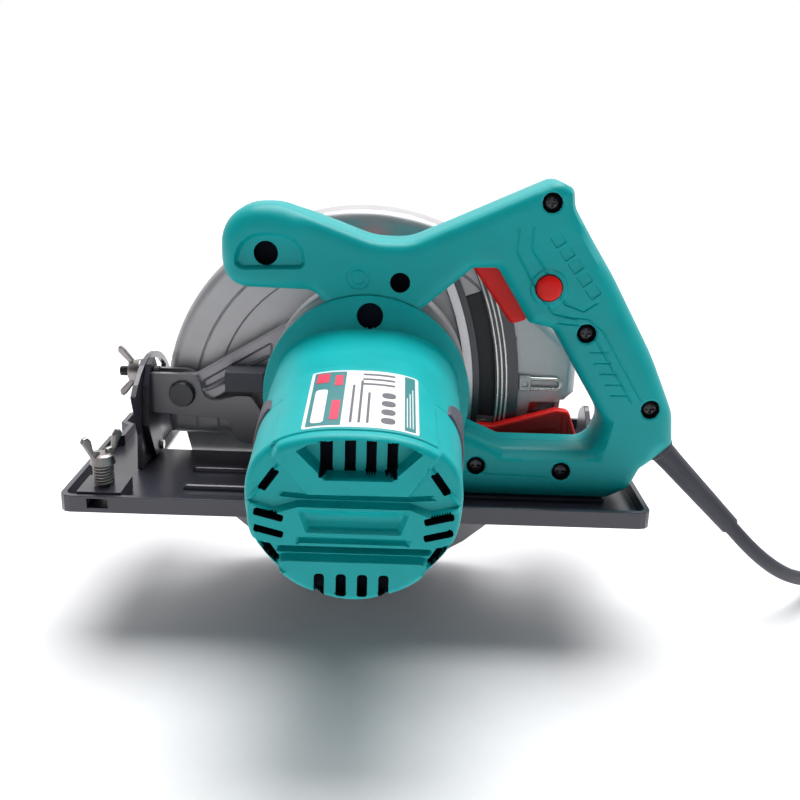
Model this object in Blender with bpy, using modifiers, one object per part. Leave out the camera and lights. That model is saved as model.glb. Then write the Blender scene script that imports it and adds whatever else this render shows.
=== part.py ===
"""Corded circular saw with a 184 mm blade, modelled in metres with +Z up.

Working frame: X runs to the rear, Y towards the blade side, Z up. Its origin lies on the
sole, in the blade's middle plane, below the spindle. An empty carries everything to the
final frame, whose origin is the bottom centre of the saw's box without its cord.
"""

import math

import bmesh
import bpy

# Driving dimensions
BLADE_RADIUS = 0.092
BLADE_THICKNESS = 0.002
BLADE_TEETH = 24
SPINDLE_Z = 0.0289
LOWER_GUARD_RADIUS = 0.0958
UPPER_GUARD_RADIUS = 0.102
UPPER_GUARD_NEAR = -0.0155
UPPER_GUARD_FAR = 0.014
GUARD_WALL = 0.0025
MOTOR_X = 0.003
MOTOR_Z = 0.052
CASE_RADIUS = 0.0473
CASE_NEAR = -0.062
HOUSING_START = -0.066
HOUSING_END = -0.150
CAP_END = -0.190
BASE_FRONT = -0.134
BASE_REAR = 0.134
BASE_NEAR = -0.090
BASE_FAR = 0.045
BASE_SHEET = 0.002
BASE_RIM_HEIGHT = 0.008
BASE_RIM = 0.0025
SLOT_FRONT = -0.1042
SLOT_REAR = 0.106
SLOT_NEAR = -0.011
SLOT_FAR = 0.031
TILT_Y = -0.015
TILT_Z = 0.006
BEVEL_BOLT_Y = -0.0235
BEVEL_BOLT_Z = 0.048
DEPTH_X = -0.090
DEPTH_Z = 0.039
CLAMP_X = 0.062
CLAMP_Z = 0.020
HANDLE_NEAR = -0.068
HANDLE_FAR = -0.034
HANDLE_MIDDLE = (HANDLE_NEAR + HANDLE_FAR) / 2
HANDLE_REAR = 0.1483
TRIGGER_PIVOT = (0.056, 0.116)
LOCK_BUTTON = (0.0827, 0.1052)
SPINDLE_LOCK = (0.0030, -0.0250)
HANDLE_SCREWS = ((0.0815, 0.1422), (0.1014, 0.0849), (0.1340, 0.0500), (0.0552, 0.0198), (0.0953, 0.0182))
GUIDE_X = -0.1165
GUIDE_HALF = 0.0047
GUIDE_Y = -0.078
CORD_RADIUS = 0.0037
BOOT_START = (0.14372, HANDLE_MIDDLE, 0.02678)
BOOT_LENGTH = 0.058
COIL_CENTRE = (0.326, 0.060)
COIL_INNER = 0.0286
COIL_OUTER = 0.0514
COIL_HEIGHT = 0.0205
GAP = 0.0003

FLOOR_Z = SPINDLE_Z - LOWER_GUARD_RADIUS
GUARD_HALF = 0.007
GEAR_TEETH = 38
GEAR_RADIUS = 0.0189
SHAFT_TURN = {"X": (0, math.pi / 2, 0), "Y": (-math.pi / 2, 0, 0), "Z": (0, 0, 0)}
PLATE_TURN = {"X": (math.pi / 2, 0, math.pi / 2), "Y": (math.pi / 2, 0, 0), "Z": (0, 0, 0)}

TEAL = ("teal_plastic", (0.0, 0.35, 0.35), 0.45, 0.0)
RED = ("red_plastic", (0.8, 0.02, 0.01), 0.4, 0.0)
BLACK_STEEL = ("black_steel", (0.06, 0.06, 0.08), 0.45, 0.3)
CAST_GREY = ("cast_aluminium", (0.45, 0.44, 0.45), 0.4, 0.8)
STEEL = ("bright_steel", (0.6, 0.6, 0.6), 0.3, 1.0)
DARK_PLASTIC = ("dark_plastic", (0.05, 0.05, 0.06), 0.5, 0.0)
GREY_PLASTIC = ("grey_plastic", (0.25, 0.25, 0.28), 0.5, 0.0)
RUBBER = ("black_rubber", (0.06, 0.06, 0.08), 0.7, 0.0)
COPPER = ("copper", (0.7, 0.32, 0.15), 0.35, 1.0)
LAMINATION = ("lamination_steel", (0.3, 0.3, 0.32), 0.5, 0.9)
CARBON = ("carbon", (0.03, 0.03, 0.03), 0.6, 0.0)


def clear_scene():
    for item in list(bpy.data.objects):
        bpy.data.objects.remove(item, do_unlink=True)


def make_collection(name):
    collection = bpy.data.collections.new(name)
    bpy.context.scene.collection.children.link(collection)
    return collection


def make_material(name, finish):
    kind, colour, roughness, metallic = finish
    material = bpy.data.materials.new(f"{name}_{kind}")
    material.use_nodes = True
    shader = material.node_tree.nodes["Principled BSDF"]
    shader.inputs["Base Color"].default_value = (*colour, 1.0)
    shader.inputs["Roughness"].default_value = roughness
    shader.inputs["Metallic"].default_value = metallic
    return material


def place_object(name, mesh, location, rotation, finish):
    """Put a mesh in the scene: a part when it has a finish, and otherwise a cutter."""
    item = bpy.data.objects.new(name, mesh)
    item.location = location
    item.rotation_euler = rotation
    item.parent = FRAME
    if finish is None:
        CUTTERS.objects.link(item)
        item.hide_render = True
        item.display_type = "WIRE"
    else:
        PARTS.objects.link(item)
        mesh.materials.append(make_material(name, finish))
    return item


# Shapes

def arc(centre, radius, start, end, steps):
    """Points on a circle from one angle to another, in degrees."""
    angles = [math.radians(start + (end - start) * step / steps) for step in range(steps + 1)]
    return [(centre[0] + radius * math.cos(a), centre[1] + radius * math.sin(a)) for a in angles]


def circle(centre, radius, steps=16):
    return arc(centre, radius, 0, 360, steps)[:-1]


def rectangle(low, high):
    return [(low[0], low[1]), (high[0], low[1]), (high[0], high[1]), (low[0], high[1])]


def filleted(corners, degrees=22):
    """An outline from corners (u, v, radius), with an arc at each corner of some radius."""
    outline = []
    for index, (u, v, radius) in enumerate(corners):
        if radius == 0:
            outline.append((u, v))
            continue
        before = corners[index - 1]
        after = corners[(index + 1) % len(corners)]
        to_before = math.atan2(before[1] - v, before[0] - u)
        to_after = math.atan2(after[1] - v, after[0] - u)
        opening = (to_after - to_before + math.pi) % (2 * math.pi) - math.pi
        reach = radius / math.sin(abs(opening) / 2)
        middle = to_before + opening / 2
        centre = (u + reach * math.cos(middle), v + reach * math.sin(middle))
        sweep = math.degrees(math.pi - abs(opening))
        turn = -1 if opening > 0 else 1
        start = math.degrees(middle + math.pi) - turn * sweep / 2
        steps = max(1, math.ceil(sweep / degrees))
        outline += arc(centre, radius, start, start + turn * sweep, steps)
    return outline


def flat_mesh(name, loops, thickness):
    """A flat outline with its holes, given a thickness, as a welded mesh."""
    curve = bpy.data.curves.new(f"{name}_outline", "CURVE")
    curve.dimensions = "2D"
    curve.fill_mode = "BOTH"
    curve.extrude = thickness / 2
    for loop in loops:
        spline = curve.splines.new("POLY")
        spline.points.add(len(loop) - 1)
        for point, (u, v) in zip(spline.points, loop):
            point.co = (u, v, 0, 1)
        spline.use_cyclic_u = True
    holder = bpy.data.objects.new(f"{name}_holder", curve)
    CUTTERS.objects.link(holder)
    evaluated = holder.evaluated_get(bpy.context.evaluated_depsgraph_get())
    mesh = bpy.data.meshes.new_from_object(evaluated)
    bpy.data.objects.remove(holder, do_unlink=True)
    bpy.data.curves.remove(curve)
    shape = bmesh.new()
    shape.from_mesh(mesh)
    bmesh.ops.remove_doubles(shape, verts=shape.verts, dist=0.000002)
    bmesh.ops.recalc_face_normals(shape, faces=shape.faces)
    shape.to_mesh(mesh)
    shape.free()
    mesh.name = name
    return mesh


def plate(name, axis, span, loops, finish=None, pivot=(0, 0)):
    """A plate across an axis, between two places on it, with its origin at the pivot."""
    local = [[(u - pivot[0], v - pivot[1]) for u, v in loop] for loop in loops]
    mesh = flat_mesh(name, local, span[1] - span[0])
    middle = (span[0] + span[1]) / 2
    location = {
        "X": (middle, pivot[0], pivot[1]),
        "Y": (pivot[0], middle, pivot[1]),
        "Z": (pivot[0], pivot[1], middle),
    }[axis]
    return place_object(name, mesh, location, PLATE_TURN[axis], finish)


def block(name, low, high, finish=None):
    shape = bmesh.new()
    bmesh.ops.create_cube(shape, size=1)
    size = [b - a for a, b in zip(low, high)]
    bmesh.ops.scale(shape, vec=size, verts=shape.verts)
    mesh = bpy.data.meshes.new(name)
    shape.to_mesh(mesh)
    shape.free()
    middle = [(a + b) / 2 for a, b in zip(low, high)]
    return place_object(name, mesh, middle, (0, 0, 0), finish)


def turned(name, axis, profile, centre, finish=None, steps=24):
    """A turned piece from a profile of (radius, place along the axis), outer side downwards."""
    shape = bmesh.new()
    points = [shape.verts.new((radius, 0, along)) for radius, along in profile]
    ends = points[1:] + points[:1] if profile[0][0] > 0 else points[1:]
    for first, second in zip(points, ends):
        shape.edges.new((first, second))
    mesh = bpy.data.meshes.new(name)
    shape.to_mesh(mesh)
    shape.free()
    location = {
        "X": (0, centre[0], centre[1]),
        "Y": (centre[0], 0, centre[1]),
        "Z": (centre[0], centre[1], 0),
    }[axis]
    item = place_object(name, mesh, location, SHAFT_TURN[axis], finish)
    screw = item.modifiers.new("turn", "SCREW")
    screw.steps = steps
    screw.render_steps = steps
    screw.use_merge_vertices = True
    screw.merge_threshold = 0.00001
    return item


def rod(name, axis, radius, span, centre, finish=None, steps=16):
    profile = [(0, span[1]), (radius, span[1]), (radius, span[0]), (0, span[0])]
    return turned(name, axis, profile, centre, finish, steps)


def ring(name, axis, radii, span, centre, finish=None, steps=24):
    inner, outer = radii
    profile = [(inner, span[1]), (outer, span[1]), (outer, span[0]), (inner, span[0])]
    return turned(name, axis, profile, centre, finish, steps)


def wire(name, points, radius, finish, resolution=2):
    """A round wire through points, as a curve with filled caps."""
    curve = bpy.data.curves.new(name, "CURVE")
    curve.dimensions = "3D"
    curve.bevel_depth = radius
    curve.bevel_resolution = resolution
    curve.use_fill_caps = True
    spline = curve.splines.new("POLY")
    spline.points.add(len(points) - 1)
    for point, place in zip(spline.points, points):
        point.co = (*place, 1)
    return place_object(name, curve, (0, 0, 0), (0, 0, 0), finish)


def boolean(item, other, operation):
    modifier = item.modifiers.new(f"{operation.lower()}_{other.name}", "BOOLEAN")
    modifier.operation = operation
    modifier.object = other
    modifier.solver = "EXACT"


def cut(item, *others):
    for other in others:
        boolean(item, other, "DIFFERENCE")


def join(item, *others):
    for other in others:
        boolean(item, other, "UNION")


# Base

def base_outline(inset):
    """The base's outline, with a bevelled far front corner and a sight notch before it."""
    front, rear = BASE_FRONT + inset, BASE_REAR - inset
    near, far = BASE_NEAR + inset, BASE_FAR - inset
    corners = [
        (front, near, 0.005 - inset / 2),
        (rear, near, 0.005 - inset / 2),
        (rear, far, 0.004 - inset / 2),
        (front + 0.016 - inset * 0.4, far, 0),
        (front, far - 0.016 + inset * 0.4, 0),
        (front, 0.012 + inset, 0),
        (front + 0.005, 0.008 + inset, 0),
        (front + 0.005, -0.006 - inset, 0),
        (front, -0.010 - inset, 0),
    ]
    return filleted(corners, 30)


def make_base():
    base = plate("base_plate", "Z", (0, BASE_RIM_HEIGHT), [base_outline(0)], BLACK_STEEL)
    tray = plate("base_tray", "Z", (BASE_SHEET, 0.020), [base_outline(BASE_RIM)])
    opening = rectangle((SLOT_FRONT, SLOT_NEAR), (SLOT_REAR, SLOT_FAR))
    slot = plate("base_slot", "Z", (-0.010, 0.010), [opening])
    guide_bar = block("guide_bar_space", (GUIDE_X - GUIDE_HALF, -0.100, 0.0023),
                      (GUIDE_X + GUIDE_HALF, 0.060, 0.0068))
    cut(base, tray, slot, guide_bar)


def make_guide_clamp():
    saddle = block("guide_saddle", (GUIDE_X - 0.0100, GUIDE_Y - 0.009, BASE_SHEET + GAP),
                   (GUIDE_X + 0.0100, GUIDE_Y + 0.011, 0.0089), BLACK_STEEL)
    channel = block("saddle_channel", (GUIDE_X - GUIDE_HALF, -0.100, 0), (GUIDE_X + GUIDE_HALF, 0, 0.0069))
    thread = rod("saddle_thread", "Z", 0.0028, (0.005, 0.012), (GUIDE_X, GUIDE_Y))
    cut(saddle, channel, thread)
    turns, steps = 4, 10
    coil = []
    for step in range(turns * steps + 1):
        angle = 2 * math.pi * step / steps
        height = 0.0098 + 0.0085 * step / (turns * steps)
        coil.append((GUIDE_X + 0.0042 * math.cos(angle), GUIDE_Y + 0.0042 * math.sin(angle), height))
    wire("guide_spring", coil, 0.0006, STEEL, 1)
    bolt = turned("guide_wing_bolt", "Z", [
        (0, 0.024), (0.0052, 0.024), (0.0058, 0.0193), (0.0024, 0.0193), (0.0024, 0.0072), (0, 0.0072)],
        (GUIDE_X, GUIDE_Y), STEEL, 12)
    wings = [(-0.0125, 0.034), (-0.0075, 0.036), (-0.0030, 0.0235), (0.0030, 0.0235),
             (0.0075, 0.036), (0.0125, 0.034), (0.0085, 0.0205), (-0.0085, 0.0205)]
    outline = [(GUIDE_X + u, v) for u, v in wings]
    join(bolt, plate("guide_wings", "Y", (GUIDE_Y - 0.0011, GUIDE_Y + 0.0011), [outline]))


def make_front_bevel_bracket():
    """The fixed bracket, with an arc slot around the tilt axis for the bevel bolt."""
    centre = (TILT_Y, TILT_Z)
    reach = math.hypot(BEVEL_BOLT_Y - TILT_Y, BEVEL_BOLT_Z - TILT_Z)
    rest = math.degrees(math.atan2(BEVEL_BOLT_Z - TILT_Z, BEVEL_BOLT_Y - TILT_Y))
    slot = arc(centre, reach + 0.0029, rest + 5, rest - 50, 8)
    slot += arc(centre, reach - 0.0029, rest - 50, rest + 5, 8)
    outline = [(-0.042, BASE_SHEET + GAP), (-0.0395, 0.020)]
    outline += arc(centre, 0.049, 133, 32, 12)
    outline += [(0.025, 0.014), (0.022, BASE_SHEET + GAP)]
    pin_hole = circle(centre, 0.0027, 12)
    plate("front_bevel_bracket", "X", (-0.1110, -0.1084), [outline, slot, pin_hole], BLACK_STEEL)
    rod("front_tilt_pin", "X", 0.0024, (-0.1116, -0.1040), centre, STEEL, 12)


def make_rear_bracket():
    centre = (TILT_Y, TILT_Z)
    outline = filleted([(-0.030, BASE_SHEET + GAP, 0), (0.004, BASE_SHEET + GAP, 0), (0.004, 0.026, 0.008),
                        (-0.010, 0.034, 0.006), (-0.029, 0.0165, 0.006)], 30)
    plate("rear_tilt_bracket", "X", (0.1153, 0.1179), [outline, circle(centre, 0.0027, 12)], BLACK_STEEL)
    rod("rear_tilt_pin", "X", 0.0024, (0.1105, 0.1195), centre, STEEL, 12)


# Tilting frame

def make_hinge_bracket():
    """The front bracket that tilts, with two ears and an arm for the depth pivot."""
    low, high = -0.1081, -0.1055
    centre = (TILT_Y, TILT_Z)
    outline = arc(centre, 0.0034, -90, 20, 4)
    outline += [(-0.0165, 0.020), (-0.0165, 0.050), (-0.020, 0.0545), (-0.028, 0.053), (-0.036, 0.044),
                (-0.038, 0.024), (-0.026, 0.0040)]
    bolt_hole = circle((BEVEL_BOLT_Y, BEVEL_BOLT_Z), 0.0028, 12)
    bracket = plate("front_hinge_bracket", "X", (low, high), [outline, circle(centre, 0.0027, 12), bolt_hole],
                    BLACK_STEEL)
    arm = filleted([(-0.1080, 0.029, 0), (-0.082, 0.027, 0.004), (-0.068, 0.026, 0.004), (-0.0625, 0.0135, 0.006),
                    (-0.0475, 0.0135, 0.006), (-0.0485, 0.027, 0.004), (-0.056, 0.0385, 0.003),
                    (-0.063, 0.0385, 0.003), (-0.079, 0.034, 0.006), (-0.082, 0.049, 0.007),
                    (-0.1080, 0.049, 0)], 30)
    ear = filleted([(-0.1080, 0.029, 0), (-0.082, 0.029, 0.008), (-0.082, 0.049, 0.008),
                    (-0.1080, 0.049, 0)], 30)
    near_ear = plate("hinge_near_ear", "Y", (-0.0300, -0.0270), [arm])
    far_ear = plate("hinge_far_ear", "Y", (-0.0200, -0.0173), [ear])
    join(bracket, near_ear, far_ear)
    cut(bracket, rod("hinge_ear_bore", "Y", 0.0043, (-0.040, -0.010), (DEPTH_X, DEPTH_Z)))
    pin = [(0, -0.0174), (0.0040, -0.0174), (0.0040, -0.0303), (0.0068, -0.0303), (0.0060, -0.0335),
           (0, -0.0335)]
    turned("depth_pivot_pin", "Y", pin, (DEPTH_X, DEPTH_Z), STEEL, 16)


def make_bevel_clamp():
    """The bolt through both front brackets, and its wing nut."""
    centre = (BEVEL_BOLT_Y, BEVEL_BOLT_Z)
    bolt = [(0, -0.1022), (0.0031, -0.1024), (0.0031, -0.1052), (0.0025, -0.1052), (0.0025, -0.1220),
            (0, -0.1220)]
    turned("bevel_bolt", "X", bolt, centre, STEEL, 12)
    nut = ring("bevel_wing_nut", "X", (0.0028, 0.0062), (-0.1175, -0.1113), centre, STEEL, 16)
    wing = [(-0.1215, 0.0150), (-0.1250, 0.0110), (-0.1160, 0.0035), (-0.1125, 0.0045)]
    for name, side in (("upper", 1), ("lower", -1)):
        outline = [(x, BEVEL_BOLT_Z + side * z) for x, z in wing]
        span = (BEVEL_BOLT_Y - 0.0011, BEVEL_BOLT_Y + 0.0011)
        join(nut, plate(f"wing_{name}", "Y", span, [outline]))


def make_depth_quadrant():
    """The tall curved guide that the body's depth clamp runs along, with its rear foot."""
    centre = (DEPTH_X, DEPTH_Z)
    reach = math.hypot(CLAMP_X - DEPTH_X, CLAMP_Z - DEPTH_Z)
    rest = math.degrees(math.atan2(CLAMP_Z - DEPTH_Z, CLAMP_X - DEPTH_X))
    outline = arc(centre, 0.169, -7.5, 29, 12) + arc(centre, 0.141, 29, -14.4, 14)
    outline += [(0.1135, 0.0039), (0.1135, 0.0130), (0.084, 0.0145)]
    slot = arc(centre, reach + 0.0042, rest - 2.2, 27, 12) + arc(centre, reach - 0.0042, 27, rest - 2.2, 12)
    quadrant = plate("depth_quadrant", "Y", (-0.0205, -0.0180), [outline, slot], BLACK_STEEL)
    flange = plate("quadrant_flange", "X", (0.1115, 0.1148),
                   [filleted([(-0.0205, 0.0039, 0), (-0.0125, 0.0039, 0.002), (-0.0112, 0.0110, 0.003),
                              (-0.0205, 0.0130, 0)], 30)])
    join(quadrant, flange)
    cut(quadrant, rod("quadrant_pin_bore", "X", 0.0027, (0.100, 0.125), (TILT_Y, TILT_Z), steps=12))


# Guards and blade

def upper_guard_outline(inset, mouth):
    """The upper guard's side view, down to its mouth: an arc with a straight rear end."""
    centre = (0, SPINDLE_Z)
    rear, floor = 0.109 - inset, 0.036 + inset
    start = math.degrees(math.asin((0.015 - SPINDLE_Z) / UPPER_GUARD_RADIUS))
    points = arc(centre, UPPER_GUARD_RADIUS - inset, 180 - start, 32, 30)
    points += [(rear, 0.064), (rear, floor + 0.005), (rear - 0.005, floor), (0.1025 - inset, floor)]
    points += [(0.1005 - inset, mouth), (-0.1005 + inset, mouth)]
    return points


def make_upper_guard():
    guard = plate("upper_guard", "Y", (UPPER_GUARD_NEAR, UPPER_GUARD_FAR), [upper_guard_outline(0, 0.012)],
                  CAST_GREY)
    cavity = plate("guard_cavity", "Y", (UPPER_GUARD_NEAR + GUARD_WALL, UPPER_GUARD_FAR - GUARD_WALL),
                   [upper_guard_outline(GUARD_WALL, -0.010)])
    bore = rod("guard_near_bore", "Y", 0.0202, (-0.030, -0.005), (0, SPINDLE_Z), steps=24)
    far_window = rod("guard_far_window", "Y", 0.024, (0.005, 0.030), (0, SPINDLE_Z), steps=24)
    near_corner = plate("guard_near_corner", "Y", (-0.030, UPPER_GUARD_NEAR + GUARD_WALL + 0.0001),
                        [[(0.079, 0.0), (0.086, 0.036), (0.120, 0.036), (0.120, 0.0)]])
    cut(guard, cavity, bore, far_window, near_corner)


def make_lower_guard():
    """A drum segment around the blade's lower half, turning on the bearing retainer."""
    wall, half = 0.0015, GUARD_HALF
    profile = [(0.062, half), (LOWER_GUARD_RADIUS, half), (LOWER_GUARD_RADIUS, -half), (0.0200, -half),
               (0.0200, -half + wall), (LOWER_GUARD_RADIUS - wall, -half + wall),
               (LOWER_GUARD_RADIUS - wall, half - wall), (0.062, half - wall)]
    guard = turned("lower_guard", "Y", profile, (0, SPINDLE_Z), CAST_GREY, 40)
    outline = [(-0.110, SPINDLE_Z - 0.004), (-0.027, SPINDLE_Z - 0.004)]
    outline += arc((0, SPINDLE_Z), 0.0273, 180, 0, 10)
    outline += [(0.027, SPINDLE_Z - 0.004), (0.110, SPINDLE_Z - 0.004), (0.110, 0.150), (-0.110, 0.150)]
    cut(guard, plate("lower_guard_opening", "Y", (-0.020, 0.020), [outline]))
    lever = [(0, 0.0200), (0.0040, 0.0200), (0.0055, 0.0180), (0.0055, 0.0120), (0.0035, 0.0100),
             (0.0035, 0.0073), (0, 0.0073)]
    turned("lower_guard_knob", "Y", lever, (-0.080, 0.0), BLACK_STEEL, 14)


def make_blade_train():
    """The spindle with its gear, and the blade between its flanges."""
    centre = (0, SPINDLE_Z)
    spindle = [(0, -0.012), (0.0034, -0.012), (0.0034, 0.0019), (0.0080, 0.0019), (0.0080, -0.0012),
               (0.0160, -0.0012), (0.0160, -0.0040), (0.0080, -0.0040), (0.0080, -0.0490), (0.0060, -0.0490),
               (0.0060, -0.0570), (0, -0.0570)]
    turned("spindle", "Y", spindle, centre, STEEL, 20)
    teeth = []
    for tooth in range(GEAR_TEETH):
        angle = 360 * tooth / GEAR_TEETH
        teeth += arc(centre, GEAR_RADIUS, angle, angle + 3, 1)
        teeth += arc(centre, GEAR_RADIUS - 0.0014, angle + 5.5, angle + 7, 1)[:1]
    plate("spindle_gear", "Y", (-0.044, -0.034), [teeth, circle(centre, 0.0083, 20)], STEEL, centre)
    rim = []
    for tooth in range(BLADE_TEETH):
        angle = 360 * tooth / BLADE_TEETH
        rim += arc(centre, BLADE_RADIUS, angle, angle + 3, 1)
        rim += arc(centre, BLADE_RADIUS - 0.007, angle + 4, angle + 7, 1)
    half = BLADE_THICKNESS / 2
    plate("blade", "Y", (-half, half), [rim, circle(centre, 0.0083, 20)], STEEL, centre)
    ring("outer_flange", "Y", (0.0042, 0.0160), (0.0022, 0.0048), centre, STEEL, 20)
    bolt = [(0, 0.0105), (0.0080, 0.0105), (0.0090, 0.0095), (0.0090, 0.0051), (0.0032, 0.0051),
            (0.0032, -0.0110), (0, -0.0110)]
    turned("arbor_bolt", "Y", bolt, centre, STEEL, 6)


# Gear case and motor

def make_gear_case():
    """A cast bowl around the gears, with the arm that reaches forward to the depth pivot."""
    centre = (MOTOR_X, MOTOR_Z)
    near, far = CASE_NEAR, UPPER_GUARD_NEAR - GAP
    bowl = [(0, far), (0.040, far), (CASE_RADIUS, far - 0.008), (CASE_RADIUS, near),
            (CASE_RADIUS - 0.0035, near), (CASE_RADIUS - 0.0035, far - 0.0105), (0.037, far - 0.0035),
            (0, far - 0.0035)]
    case = turned("gear_case", "Y", bowl, centre, CAST_GREY, 32)
    arm = filleted([(-0.098, 0.031, 0.0075), (-0.098, 0.047, 0.0075), (-0.084, 0.048, 0.004),
                    (-0.0375, 0.0760, 0), (-0.0423, 0.060, 0), (-0.0427, 0.048, 0), (-0.065, 0.042, 0.003),
                    (-0.082, 0.031, 0.006)], 30)
    join(case, plate("case_arm", "Y", (-0.0267, -0.0203), [arm]))
    spindle_bore = rod("case_spindle_bore", "Y", 0.0085, (-0.030, -0.005), (0, SPINDLE_Z))
    pivot_bore = rod("case_pivot_bore", "Y", 0.0043, (-0.040, -0.010), (DEPTH_X, DEPTH_Z))
    lock_bore = rod("case_lock_bore", "Z", 0.0039, (0.085, 0.110), SPINDLE_LOCK, steps=12)
    cut(case, spindle_bore, pivot_bore, lock_bore)
    block("rubber_bumper", (-0.0670, -0.0400, 0.0435), (-0.0480, -0.0270, 0.0535), RUBBER)
    ring("bearing_retainer", "Y", (0.0086, 0.0197), (-0.0155, -0.0045), (0, SPINDLE_Z), CAST_GREY, 24)
    ring("spindle_bearing_front", "Y", (0.0083, 0.0130), (-0.0280, -0.0200), (0, SPINDLE_Z), STEEL, 20)
    ring("spindle_bearing_rear", "Y", (0.0063, 0.0110), (-0.0560, -0.0500), (0, SPINDLE_Z), STEEL, 20)
    turns, steps = 3, 16
    coil = []
    for step in range(turns * steps + 1):
        angle = 2 * math.pi * step / steps
        along = -0.0124 + 0.0042 * step / (turns * steps)
        coil.append((0.0215 * math.cos(angle), along, SPINDLE_Z + 0.0215 * math.sin(angle)))
    wire("guard_return_spring", coil, 0.0005, STEEL, 1)


def make_motor():
    """The armature, its field and its bearings, which lie inside the gear case and housing."""
    centre = (MOTOR_X, MOTOR_Z)
    ring("bearing_plate", "Y", (0.0070, CASE_RADIUS - 0.001), (HOUSING_START + GAP, CASE_NEAR - GAP), centre,
         CAST_GREY, 32)
    shaft = [(0, -0.0330), (0.0042, -0.0330), (0.0042, -0.0480), (0.0040, -0.0480), (0.0040, -0.1840),
             (0, -0.1840)]
    turned("armature_shaft", "Y", shaft, centre, STEEL, 16)
    ring("motor_bearing_front", "Y", (0.0043, 0.0110), (-0.0740, -0.0663), centre, STEEL, 20)
    ring("motor_bearing_rear", "Y", (0.0043, 0.0110), (-0.1790, -0.1720), centre, STEEL, 20)
    fan = [(0.0043, -0.0750), (0.0120, -0.0750), (0.0285, -0.0810), (0.0295, -0.0850), (0.0120, -0.0850),
           (0.0043, -0.0850)]
    turned("cooling_fan", "Y", fan, centre, DARK_PLASTIC, 24)
    core = [(0.0043, -0.0940), (0.0180, -0.0940), (0.0225, -0.0980), (0.0225, -0.1360), (0.0180, -0.1400),
            (0.0070, -0.1400), (0.0070, -0.1470), (0.0120, -0.1470), (0.0120, -0.1620), (0.0043, -0.1620)]
    turned("armature", "Y", core, centre, COPPER, 24)
    ring("field_stator", "Y", (0.0232, 0.0303), (-0.1420, -0.0920), centre, LAMINATION, 28)
    for name, side in (("front", -1), ("rear", 1)):
        ends = sorted((MOTOR_X + side * 0.0124, MOTOR_X + side * 0.0222))
        low, high = (ends[0], -0.1590, MOTOR_Z - 0.003), (ends[1], -0.1520, MOTOR_Z + 0.003)
        block(f"carbon_brush_{name}", low, high, CARBON)


def label_slope():
    """The space above the housing's level top and the label's flat, which slopes to the cap."""
    level, start, kink, end = 0.0836, HOUSING_START - 0.0060, -0.1370, -0.2000
    fall = (kink - end) * math.tan(math.radians(8.1))
    outline = [(end, level - fall), (kink, level), (start, level), (start, 0.1200), (end, 0.1200)]
    return plate("top_flat", "X", (-0.0600, 0.0660), [outline])


def make_housing(flat):
    centre = (MOTOR_X, MOTOR_Z)
    start, end = HOUSING_START, HOUSING_END
    profile = [(0.0400, start), (CASE_RADIUS, start), (CASE_RADIUS, start - 0.006), (0.0445, start - 0.009),
               (0.0430, start - 0.030), (0.0390, end), (0.0306, end), (0.0306, start - 0.005),
               (0.0400, start - 0.002)]
    housing = turned("motor_housing", "Y", profile, centre, TEAL, 40)
    cut(housing, flat)
    for name, side in (("front", -1), ("rear", 1)):
        ends = sorted((MOTOR_X + side * 0.0372, MOTOR_X + side * 0.0398))
        low, high = (ends[0], -0.1460, 0.0430), (ends[1], -0.1200, 0.0610)
        block(f"brush_cover_{name}", low, high, GREY_PLASTIC)
        wide = sorted((MOTOR_X + side * 0.0369, MOTOR_X + side * 0.0500))
        cut(housing, block(f"brush_recess_{name}", (wide[0], -0.1463, 0.0427), (wide[1], -0.1197, 0.0613)))


def make_end_cap(flat):
    end = CAP_END
    profile = [(0, end + 0.003), (0.0113, end + 0.003), (0.0113, end + 0.019), (0.0140, end + 0.019),
               (0.0140, end + 0.003), (0.0230, end + 0.003), (0.0230, HOUSING_END - GAP),
               (0.0388, HOUSING_END - GAP), (0.0375, end + 0.010), (0.0355, end + 0.003), (0.0325, end),
               (0, end)]
    cap = turned("end_cap", "Y", profile, (MOTOR_X, MOTOR_Z), TEAL, 40)
    cut(cap, flat)


# Handle

def handle_outline():
    """The handle's side view: front knob, neck, arm, pistol grip and lower bar."""
    return filleted([
        (-0.0165, 0.0780, 0), (-0.0170, 0.1000, 0.008), (-0.0630, 0.1008, 0.013), (-0.0635, 0.1365, 0.018),
        (-0.0370, 0.1375, 0.022), (0.0050, 0.1225, 0.030), (0.0210, 0.1225, 0.020), (0.0845, 0.1530, 0.005),
        (0.0918, 0.1490, 0.004), (0.0925, 0.1400, 0.006), (0.1130, 0.1095, 0.080), (0.1345, 0.0730, 0.080),
        (0.1465, 0.0470, 0.020), (HANDLE_REAR, 0.0314, 0), (0.1391, 0.0222, 0), (0.1330, 0.0205, 0.003),
        (0.1285, 0.0100, 0.006), (0.1180, 0.0045, 0.010), (0.0200, 0.0045, 0), (0.0200, 0.0385, 0),
        (0.0485, 0.0358, 0.003), (0.0670, 0.0276, 0.008), (0.1105, 0.0276, 0.009), (0.1148, 0.0415, 0.010),
        (0.0870, 0.0860, 0.006), (0.0755, 0.0885, 0.003), (0.0600, 0.1127, 0.003), (0.0490, 0.1123, 0.003),
        (0.0245, 0.0910, 0.006), (0.0265, 0.0800, 0)])


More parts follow.
